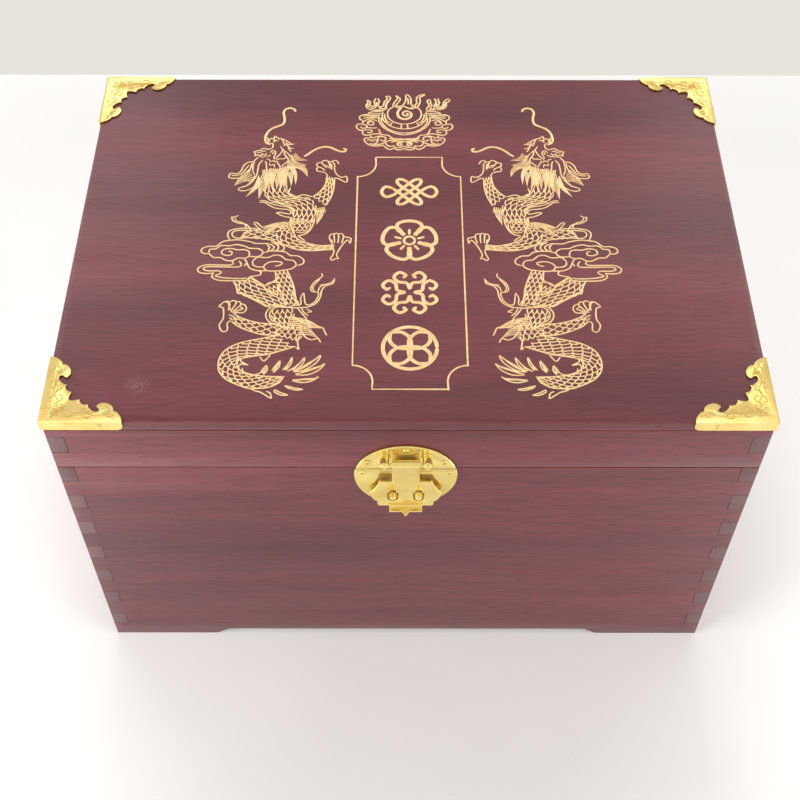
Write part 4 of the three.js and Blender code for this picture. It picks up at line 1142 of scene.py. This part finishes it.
def ruled(shape, low, high):
    for axis in (0, 1):
        lines = math.floor((high[axis] - low[axis]) / grid_cell)
        for line in range(1, lines + 1):
            place = Vector()
            place[axis] = low[axis] + line * (high[axis] - low[axis]) / (lines + 1)
            normal = Vector()
            normal[axis] = 1
            everything = shape.verts[:] + shape.edges[:] + shape.faces[:]
            bmesh.ops.bisect_plane(shape, geom=everything, dist=1e-7, plane_co=place, plane_no=normal)
    return shape


def make_carved_board():
    blank = as_mesh("top_board_blank", ruled(merged("lid_top_board"), board_low, board_high))
    blank = as_piece("top_board_blank", blank, [lid_grain], "lid")
    mesh = grown(blank, cut_grooves, Strokes=carved_strokes, Depth_Share=groove_depth, Paint=gilt)
    clear_away(blank, carved_strokes)
    painted = [material.name for material in mesh.materials].index(gilt.name)
    wood = [face for face in mesh.polygons if face.material_index != painted]
    finish_faces(wood, "X", 1 - painted, 2, 3)
    board = as_piece("carved_top_board", mesh, wood_finishes["X"][1:], "lid", "lid_top_board")
    print("carved board triangles:", sum(len(face.vertices) - 2 for face in mesh.polygons))


make_carved_board()

# %% [markdown]
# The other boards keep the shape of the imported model, with their fingers and foot cut-outs. Only the
# outer arrises, the long sharp edges, are softened, because the maker sands those after gluing up,
# while the joints stay crisp. An arris lies on two outsides of the box, or along the foot.

# %% The jointed boards and rails
board_grain = {
    "front_board": "X",
    "back_board": "X",
    "left_board": "Y",
    "right_board": "Y",
    "lid_front_rail": "X",
    "lid_back_rail": "X",
    "lid_left_rail": "Y",
    "lid_right_rail": "Y",
}
foot_top = 7.2 * mm
arris = 0.5 * mm
sharp_arris = math.radians(30)


def is_arris(edge, low, high):
    def on(axis, *values):
        return all(min(abs(end.co[axis] - value) for value in values) < 1e-5 for end in edge.verts)

    outsides = on(0, board_low.x, board_high.x) + on(1, board_low.y, board_high.y)
    under_foot = all(end.co.z < foot_top for end in edge.verts)
    outsides += on(2, low.z, high.z) or under_foot
    return edge.calc_face_angle(0) >= sharp_arris and outsides >= 2


def make_boards():
    for node, axis in board_grain.items():
        shape = flattened(node)
        low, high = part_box(node)
        edges = [edge for edge in shape.edges if is_arris(edge, low, high)]
        soften(shape, edges, arris)
        shape.normal_update()
        finish_faces(shape.faces, axis)
        name = node + "_lacquered"
        board = as_piece(name, as_mesh(name, shape), wood_finishes[axis], held_by[node], node)
        print(node, "softened arrises:", len(edges))


make_boards()

# %% [markdown]
# The bottom panel is the one board that is left bare. Camphor wood is pale honey brown with a green
# cast, and its fibres and rings show far more strongly without the stain.

# %% Bare camphor wood
def bare_wood(name):
    material, tree, shader = new_material(name)
    rings = noise(tree, stretched(tree, 1.3, 24, "X"), detail=5, roughness=0.6, distortion=0.8)
    fibres = noise(tree, stretched(tree, 25, 800, "X"), detail=4, roughness=0.7)
    dark = (0.33, 0.17, 0.075)
    middle = (0.47, 0.27, 0.125)
    light = (0.58, 0.36, 0.18)
    colour = ramp(tree, rings, (0.3, dark), (0.5, middle), (0.7, light))
    fibre_tint = ramp(tree, fibres, (0.3, 0.72), (0.7, 1.12))
    tree.links.new(mix(tree, 1.0, colour, fibre_tint, "MULTIPLY"), shader.inputs["Base Color"])
    tree.links.new(ramp(tree, fibres, (0.3, 0.55), (0.7, 0.72)), shader.inputs["Roughness"])
    lift(tree, shader, fibres, 0.5, 0.1 * mm)
    return material


def make_bottom():
    name = "bottom_panel_sanded"
    shape = flattened("bottom_panel")
    soften(shape, shape.edges[:], arris)
    panel = as_piece(name, as_mesh(name, shape), [bare_wood("bare_camphor")], "chest", "bottom_panel")
    print("bottom panel in mm:", [round(value / mm, 1) for value in panel.dimensions])


make_bottom()

# %% [markdown]
# Brass appears in three finishes. The latch is buffed to a mirror and lacquered, the stamped caps
# keep a grain from the rolled sheet, and the hinges are brushed along their length. The colour is
# the same metal each time; what differs is how rough it is and in which direction. The pins are
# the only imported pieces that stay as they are, and they get these finishes too.

# %% Brass finishes
def brass(name, dark, light, rough, speckle, depth, grain=(1, 1, 1), metallic=1.0):
    material, tree, shader = new_material(name)
    place = object_place(tree)
    colour = ramp(tree, noise(tree, place, scale=55), (0.3, dark), (0.65, light))
    tree.links.new(colour, shader.inputs["Base Color"])
    shader.inputs["Metallic"].default_value = metallic
    drawn = put(tree, "ShaderNodeMapping", {"Vector": place, "Scale": grain}).outputs["Vector"]
    grit = noise(tree, drawn, scale=speckle, roughness=0.6)
    polish, wear = rough
    tree.links.new(ramp(tree, grit, (0.3, polish), (0.75, wear)), shader.inputs["Roughness"])
    lift(tree, shader, grit, 0.4, depth)
    return material


latch_brass = brass(
    "buffed_brass", (0.88, 0.65, 0.19), (0.94, 0.78, 0.28), (0.1, 0.22), 900, 0.01 * mm, metallic=0.78
)
cap_brass = brass(
    "stamped_brass", (0.80, 0.57, 0.18), (0.91, 0.72, 0.28), (0.2, 0.36), 1100, 0.04 * mm, metallic=0.95
)
hinge_brass = brass(
    "brushed_brass", (0.70, 0.46, 0.14), (0.84, 0.60, 0.22), (0.26, 0.5), 90, 0.03 * mm, grain=(1, 14, 14)
)


def dress(slot_name, material):
    nodes = [row["node"] for row in frame["record"]["subparts"] if row["material_slot"] == slot_name]
    for node in nodes:
        metal = frame["nodes"][node]
        metal.data.materials.clear()
        metal.data.materials.append(material)
    print(slot_name, "pieces:", len(nodes))


dress("polished_brass", latch_brass)
dress("hinge_brass", hinge_brass)

# %% [markdown]
# Cut sheet brass has a burr that the maker files away, so the edges of the plates, the hasp and the
# hinge leaves are eased by a fifth of a millimetre or less. That narrow slope catches the light and
# draws a bright line about each plate.

# %% Plates, hasp and hinge leaves with eased edges
sharp_corner = math.radians(50)


def ease_edges(node, metal, ease):
    shape = flattened(node)
    edges = [edge for edge in shape.edges if edge.calc_face_angle(0) > sharp_corner]
    soften(shape, edges, ease, clamp_overlap=True)
    bmesh.ops.triangulate(shape, faces=[face for face in shape.faces if len(face.verts) > 4])
    name = node + "_eased"
    piece = as_piece(name, as_mesh(name, shape), [metal], held_by[node], node)
    print(piece.name, "eased edges:", len(edges), "faces:", len(piece.data.polygons))


for node in ("latch_upper_plate", "latch_lower_plate", "hasp"):
    ease_edges(node, latch_brass, 0.2 * mm)
for node in sorted(node for node in frame["nodes"] if "leaf" in node):
    ease_edges(node, hinge_brass, 0.15 * mm)

# %% [markdown]
# A corner cap is sheet brass, cut to scallops and stamped in a die. The die leaves three things: a
# raised rim along the edge, a vine with leaves and a blossom round the corner nail, and a field of
# fine dots between them. The vine is drawn once, along one leg, and mirrored about the cap's
# diagonal. Its points are millimetres in from the chest's corner.

# %% The vine of a cap
vine = []
blossom_middle = 8.8
blossom_reach = 4.6
petals = 6
petal_outline = ((0.45, 0.0), (0.72, 0.28), (1.0, 0.16), (1.0, -0.16), (0.72, -0.28), (0.45, 0.0))


def sprig(width, *flat):
    points = smooth(flat, reach=0.7)
    last = len(points) - 1
    tapered = [width * (1 - 0.6 * abs(2 * index / last - 0.8) ** 2) for index in range(last + 1)]
    vine.append((points, tapered))
    vine.append(([point.yx for point in points], tapered))


sprig(0.9, 12.6, 8.4, 15.5, 8.6, 18, 7.2, 21, 6.2, 24.4, 7.2, 27.4, 6.6, 30.6, 4.6, 34, 4.2, 37.4, 5)
sprig(0.7, 14.6, 8.7, 16.4, 11, 19, 11.2, 19.8, 9.4, 18.2, 8.8)
sprig(0.7, 23.4, 7, 24.4, 9, 26.4, 9.3, 27.3, 8, 26.2, 7.5)
sprig(0.6, 29.2, 5.3, 30.4, 6.2, 32, 6.1, 32.6, 5.2)
sprig(0.7, 19.8, 6.4, 18.6, 4.2, 15.8, 3.6, 14.4, 5.2, 16, 5.8)
sprig(0.7, 31.4, 4.4, 29.4, 2.6, 26.6, 2.6, 25.6, 4.2, 27.2, 4.6)
sprig(0.8, 40.6, 7.6, 42.2, 5.4, 44.6, 4.2, 46.8, 2.6)
sprig(0.7, 42.4, 5.2, 42.2, 3.4, 40.2, 2.6)
sprig(0.7, 38.2, 7.2, 36.9, 8.6, 36.4, 10.4)
for petal_number in range(petals):
    petal_angle = math.radians(45 + 360 / petals * petal_number)
    outline = []
    for out, aside in petal_outline:
        angle = petal_angle + aside
        radius = blossom_reach * out
        outline += [blossom_middle + radius * math.cos(angle), blossom_middle + radius * math.sin(angle)]
    petal_line = smooth(outline, reach=0.6)
    vine.append((petal_line, [0.6] * len(petal_line)))
print("vine beads on a cap:", len(vine))

# %% [markdown]
# The vine is a round bead swept along those lines, and the dots are scattered over the field by
# nodes, no closer to each other than the die's punches were. The seed is fixed, so every run gives
# the same dots, and each dot is a ball of only twenty faces, because a cap has hundreds of them.

# %% Beads along the vine and dots on the field
def relief_tree():
    tree, given = new_geometry_tree(
        "stamped_relief",
        ("Vine", "Object", None),
        ("Field", "Object", None),
        ("Dots per Square Metre", "Float", 420000.0),
        ("Dot Spacing", "Float", 0.95 * mm),
        ("Dot Radius", "Float", 0.22 * mm),
        ("Seed", "Int", 7),
        ("Brass", "Material", None),
    )
    section = put(tree, "GeometryNodeCurvePrimitiveCircle", {"Resolution": 8, "Radius": 0.5})
    beads = swept(tree, given["Vine"], section.outputs["Curve"])
    field = put(tree, "GeometryNodeObjectInfo", {"Object": given["Field"]}, transform_space="RELATIVE")
    scatter = {
        "Mesh": field.outputs["Geometry"],
        "Distance Min": given["Dot Spacing"],
        "Density Max": given["Dots per Square Metre"],
        "Seed": given["Seed"],
    }
    spots = put(tree, "GeometryNodeDistributePointsOnFaces", scatter, distribute_method="POISSON")
    dot = put(tree, "GeometryNodeMeshIcoSphere", {"Radius": given["Dot Radius"], "Subdivisions": 1})
    dotted = {"Points": spots.outputs[0], "Instance": dot.outputs[0]}
    dotted = put(tree, "GeometryNodeInstanceOnPoints", dotted).outputs[0]
    joined = put(tree, "GeometryNodeJoinGeometry")
    for part in (given["Geometry"], beads, dotted):
        tree.links.new(part, joined.inputs[0])
    whole = put(tree, "GeometryNodeRealizeInstances", {"Geometry": joined.outputs[0]})
    done = {"Geometry": whole.outputs[0], "Material": given["Brass"]}
    done = put(tree, "GeometryNodeSetMaterial", done)
    put(tree, "NodeGroupOutput", {"Geometry": done.outputs[0]})
    print(tree.name, "nodes:", len(tree.nodes))
    return tree


cap_relief = relief_tree()

# %% [markdown]
# The rim is made by insetting the cap's flat top and sinking what lies inside it. The sunken faces
# are copied as a field for the dots to stand on. The four caps differ only in which corner of the
# chest their vine starts from.

# %% Stamped corner caps
rim_width = 0.8 * mm
sunk = 0.3 * mm
bead_lift = 0.05 * mm
slack = 0.05 * mm
cap_rise = 1.2 * mm
nail_head = 0.9 * mm
corner_signs = {
    "front_left": (-1, -1),
    "front_right": (1, -1),
    "back_right": (1, 1),
    "back_left": (-1, 1),
}


def vine_on_cap(sign_x, sign_y, level):
    curve = bpy.data.curves.new("vine", "CURVE")
    curve.dimensions = "3D"
    corner_x = board_high.x if sign_x > 0 else board_low.x
    corner_y = board_high.y if sign_y > 0 else board_low.y
    for points, widths in vine:
        places = [(corner_x - sign_x * x * mm, corner_y - sign_y * y * mm, level) for x, y in points]
        add_line(curve, places, widths)
    return new_object("vine", curve)


def field_of(faces):
    mesh = bpy.data.meshes.new("cap_field")
    corners = [vertex.co for face in faces for vertex in face.verts]
    triangles = [(first, first + 1, first + 2) for first in range(0, len(corners), 3)]
    mesh.from_pydata(corners, [], triangles)
    return new_object("cap_field", mesh)


def make_cap(corner, sign_x, sign_y):
    node = "corner_cap_" + corner
    shape = merged(node)
    level = max(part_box(node)[1].z - nail_head, board_high.z + cap_rise)
    upward = [face for face in shape.faces if face.normal.z > 0.99]
    top = [face for face in upward if abs(face.calc_center_median().z - level) < slack]
    bmesh.ops.inset_region(shape, faces=top, thickness=rim_width, use_even_offset=True)
    lowered = {vertex for face in top for vertex in face.verts}
    bmesh.ops.translate(shape, verts=list(lowered), vec=(0, 0, -sunk))
    field = field_of(top)
    beads = vine_on_cap(sign_x, sign_y, level - sunk + bead_lift)
    plain = as_piece("plain_cap", as_mesh("plain_cap", shape), [cap_brass], "lid")
    mesh = grown(plain, cap_relief, Vine=beads, Field=field, Brass=cap_brass)
    clear_away(plain, beads, field)
    mesh.materials.clear()
    cap = as_piece(node + "_stamped", mesh, [cap_brass], "lid", node)
    print(cap.name, "faces:", len(mesh.polygons))


for corner, signs in corner_signs.items():
    make_cap(corner, *signs)

# %% [markdown]
# The latch's posts and studs are turned on a lathe: a bar with a domed end that stands on a collar.
# A lathe profile is a list of radii and heights, spun about the axis in many small steps, so the
# highlights on the polished metal run round it without facets.

# %% A lathe
def turned(profile, steps=32):
    shape = bmesh.new()
    line = [shape.verts.new((radius * mm, 0, height * mm)) for radius, height in profile]
    edges = [shape.edges.new(pair) for pair in zip(line, line[1:])]
    whole_turn = dict(cent=(0, 0, 0), axis=(0, 0, 1), angle=2 * math.pi, steps=steps)
    bmesh.ops.spin(shape, geom=line + edges, use_merge=True, **whole_turn)
    bmesh.ops.remove_doubles(shape, verts=shape.verts, dist=1e-7)
    bmesh.ops.recalc_face_normals(shape, faces=shape.faces)
    return shape


def laid(shape, place, direction):
    turn = Vector(direction).to_track_quat("Z", "Y").to_matrix().to_4x4()
    bmesh.ops.transform(shape, matrix=Matrix.Translation(place) @ turn, verts=shape.verts)
    return shape


def quarter_round(steps, first=0):
    angles = [math.pi / 2 * step / steps for step in range(first, steps)]
    return [(math.cos(angle), math.sin(angle)) for angle in angles]


print("points on a quarter round of eight steps:", len(quarter_round(8)))

# %% [markdown]
# A post or stud is turned from a profile of shank, collar, bar and dome. The bores for the pin and
# for a lock are cut through afterwards, as they are drilled in the workshop.

# %% Turned posts and studs
collar_reach = 0.7
rounding = 0.2
dome_share = 0.7
shank_depth = 8


def domed_bar(radius, reach, shank):
    collar = radius + collar_reach
    dome = dome_share * radius
    return [
        (0, -shank_depth),
        (shank, -shank_depth),
        (shank, 1.8),
        (collar - rounding, 1.8),
        (collar, 2.0),
        (collar, 2.35),
        (collar - rounding, 2.5),
        (radius, 2.5),
        (radius, reach - dome),
        *((radius * out, reach - dome * (1 - up)) for out, up in quarter_round(8, first=1)),
        (0, reach),
    ]


def drilled(name, bar, hole):
    work = new_object(name, as_mesh(name, bar))
    tool = new_object(name + "_drill", as_mesh(name + "_drill", hole))
    cut = work.modifiers.new("bore", "BOOLEAN")
    cut.operation = "DIFFERENCE"
    cut.object = tool
    cut.solver = "EXACT"
    mesh = bpy.data.meshes.new_from_object(work.evaluated_get(bpy.context.evaluated_depsgraph_get()))
    clear_away(work, tool)
    return mesh


def make_bar(stem, side, body, radius, shank, bore, bore_reach):
    node = f"{stem}_{side}"
    low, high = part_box(node)
    middle = (low + high) / 2
    wood_front = board_low.y
    reach = (wood_front - low.y) / mm
    bar = turned(domed_bar(radius, reach, shank), steps=48)
    laid(bar, (middle.x, wood_front, middle.z), (0, -1, 0))
    hole = turned([(0, -5), (bore, -5), (bore, 5), (0, 5)])
    laid(hole, (middle.x, wood_front - bore_reach * mm, middle.z), (1, 0, 0))
    piece = as_piece(node + "_turned", drilled(node, bar, hole), [latch_brass], body, node)
    print(piece.name, "faces:", len(piece.data.polygons), "reach in mm:", round(reach, 2))


for side in ("left", "right"):
    make_bar("latch_post", side, "lid", radius=3.2, shank=1.5, bore=1.3, bore_reach=7.0)
for side in ("left", "right"):
    make_bar("latch_stud", side, "chest", radius=2.3, shank=1.4, bore=1.1, bore_reach=8.0)

# %% [markdown]
# Small round-headed screws hold the latch plates, and countersunk ones hold the hinges. All of them
# have a cross recess. A blank is turned for each set; Geometry Nodes cut the recess into it and
# set a copy on every screw's place, each turned by its own random angle, as a screwdriver leaves them.

# %% Screws set by Geometry Nodes
def screw_tree():
    tree, given = new_geometry_tree(
        "cross_recessed_screws",
        ("Blank", "Object", None),
        ("Recess Width", "Float", 0.55 * mm),
        ("Recess Length", "Float", 2.6 * mm),
        ("Recess Depth", "Float", 0.7 * mm),
        ("Head Top", "Float", 3.0 * mm),
        ("Tilt", "Float", 0.0),
        ("Seed", "Int", 3),
        ("Brass", "Material", None),
    )
    blank = put(tree, "GeometryNodeObjectInfo", {"Object": given["Blank"]}).outputs["Geometry"]
    high = reckon(tree, "MULTIPLY", given["Recess Depth"], 2.0)
    up = put(tree, "ShaderNodeCombineXYZ", {"Z": given["Head Top"]}).outputs[0]
    cut = put(tree, "GeometryNodeMeshBoolean", operation="DIFFERENCE", solver="EXACT")
    tree.links.new(blank, cut.inputs[0])
    for along, across in (("Length", "Width"), ("Width", "Length")):
        size = {"X": given["Recess " + along], "Y": given["Recess " + across], "Z": high}
        size = put(tree, "ShaderNodeCombineXYZ", size).outputs[0]
        bar = put(tree, "GeometryNodeMeshCube", {"Size": size}).outputs["Mesh"]
        bar = put(tree, "GeometryNodeTransform", {"Geometry": bar, "Translation": up}).outputs[0]
        tree.links.new(bar, cut.inputs[1])
    lean = put(tree, "ShaderNodeCombineXYZ", {"X": given["Tilt"]}).outputs[0]
    any_turn = {"Min": (0, 0, 0), "Max": (0, 0, math.tau)}
    spin = put(tree, "FunctionNodeRandomValue", any_turn, data_type="FLOAT_VECTOR")
    tree.links.new(given["Seed"], spin.inputs["Seed"])
    turn = {"Rotation": lean, "Rotate By": spin.outputs["Value"]}
    turn = put(tree, "FunctionNodeRotateRotation", turn, rotation_space="LOCAL").outputs[0]
    points = put(tree, "GeometryNodeMeshToPoints", {"Mesh": given["Geometry"]}).outputs[0]
    copies = {"Points": points, "Instance": cut.outputs[0], "Rotation": turn}
    copies = put(tree, "GeometryNodeInstanceOnPoints", copies).outputs[0]
    whole = put(tree, "GeometryNodeRealizeInstances", {"Geometry": copies}).outputs[0]
    done = put(tree, "GeometryNodeSetMaterial", {"Geometry": whole, "Material": given["Brass"]})
    put(tree, "NodeGroupOutput", {"Geometry": done.outputs[0]})
    print(tree.name, "nodes:", len(tree.nodes))
    return tree


screws_tree = screw_tree()

# %% [markdown]
# The two kinds of screw differ only in their blank, in the way they point and in the size of their
# recess. The latch screws point into the front and stand up on the plate; the hinge screws lie
# flush in their leaves, the upper ones pointing up into the lid and the lower ones down.

# %% Round-headed latch screws
def set_screws(kind, side, blank, places, top, metal, tilt, recess):
    name = f"{kind}_{side}_screws"
    body = {"upper": "lid", "lower": "chest"}[side]
    blank = new_object(name + "_blank", as_mesh(name + "_blank", turned(blank)))
    marks = bpy.data.meshes.new(name)
    marks.from_pydata(list(places.values()), [], [])
    seed = new_object(name, marks)
    width, depth = recess
    settings = dict(Head_Top=top * mm, Tilt=tilt, Recess_Width=width * mm, Recess_Depth=depth * mm)
    mesh = grown(seed, screws_tree, Blank=blank, Brass=metal, **settings)
    clear_away(blank, seed)
    mesh.materials.clear()
    screws = as_piece(name, mesh, [metal], body, *places)
    print(name, "screws:", len(places), "faces:", len(mesh.polygons))


def screw_boxes(stem):
    return {node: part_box(node) for node in sorted(frame["nodes"]) if node.startswith(stem)}


head_radius = 2.3
head_foot = 1.9
head_height = 1.0
head_curve = [(head_radius * out, head_foot + head_height * up) for out, up in quarter_round(6)]
round_head = [(0, -8), (1.1, -6.9), (1.1, head_foot), *head_curve, (0, head_foot + head_height)]
for side in ("upper", "lower"):
    places = {}
    for node, (low, high) in screw_boxes(f"latch_{side}_screw").items():
        places[node] = (low.x + high.x) / 2, board_low.y, (low.z + high.z) / 2
    set_screws(
        "latch", side, round_head, places, 2.9, latch_brass, math.pi / 2, (0.8, 0.9)
    )

# %% [markdown]
# A countersunk head is a short cone that ends flush with the leaf, so its screws are set by the
# height of their own top rather than by the wood's face.

# %% Countersunk hinge screws
countersunk = [(0, -9), (1.1, -9), (1.1, -1.6), (2.4, 0), (0, 0)]
for side, tilt in (("upper", math.pi), ("lower", 0.0)):
    places = {}
    for node, (low, high) in screw_boxes(f"hinge_{side}_screw").items():
        flush = low.z if side == "upper" else high.z
        places[node] = (low.x + high.x) / 2, (low.y + high.y) / 2, flush
    set_screws("hinge", side, countersunk, places, 0.0, hinge_brass, tilt, (0.7, 0.8))

# %% [markdown]
# The last cell prints the size of the finished chest and sets its box beside the box of the imported
# model.

# %% Sizes of the finished and the imported chest
low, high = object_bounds()
print("finished box in mm:", [round(value / mm, 1) for value in high - low])
{"cad": [list(cad_low), list(cad_high)], "visual": [list(low), list(high)]}
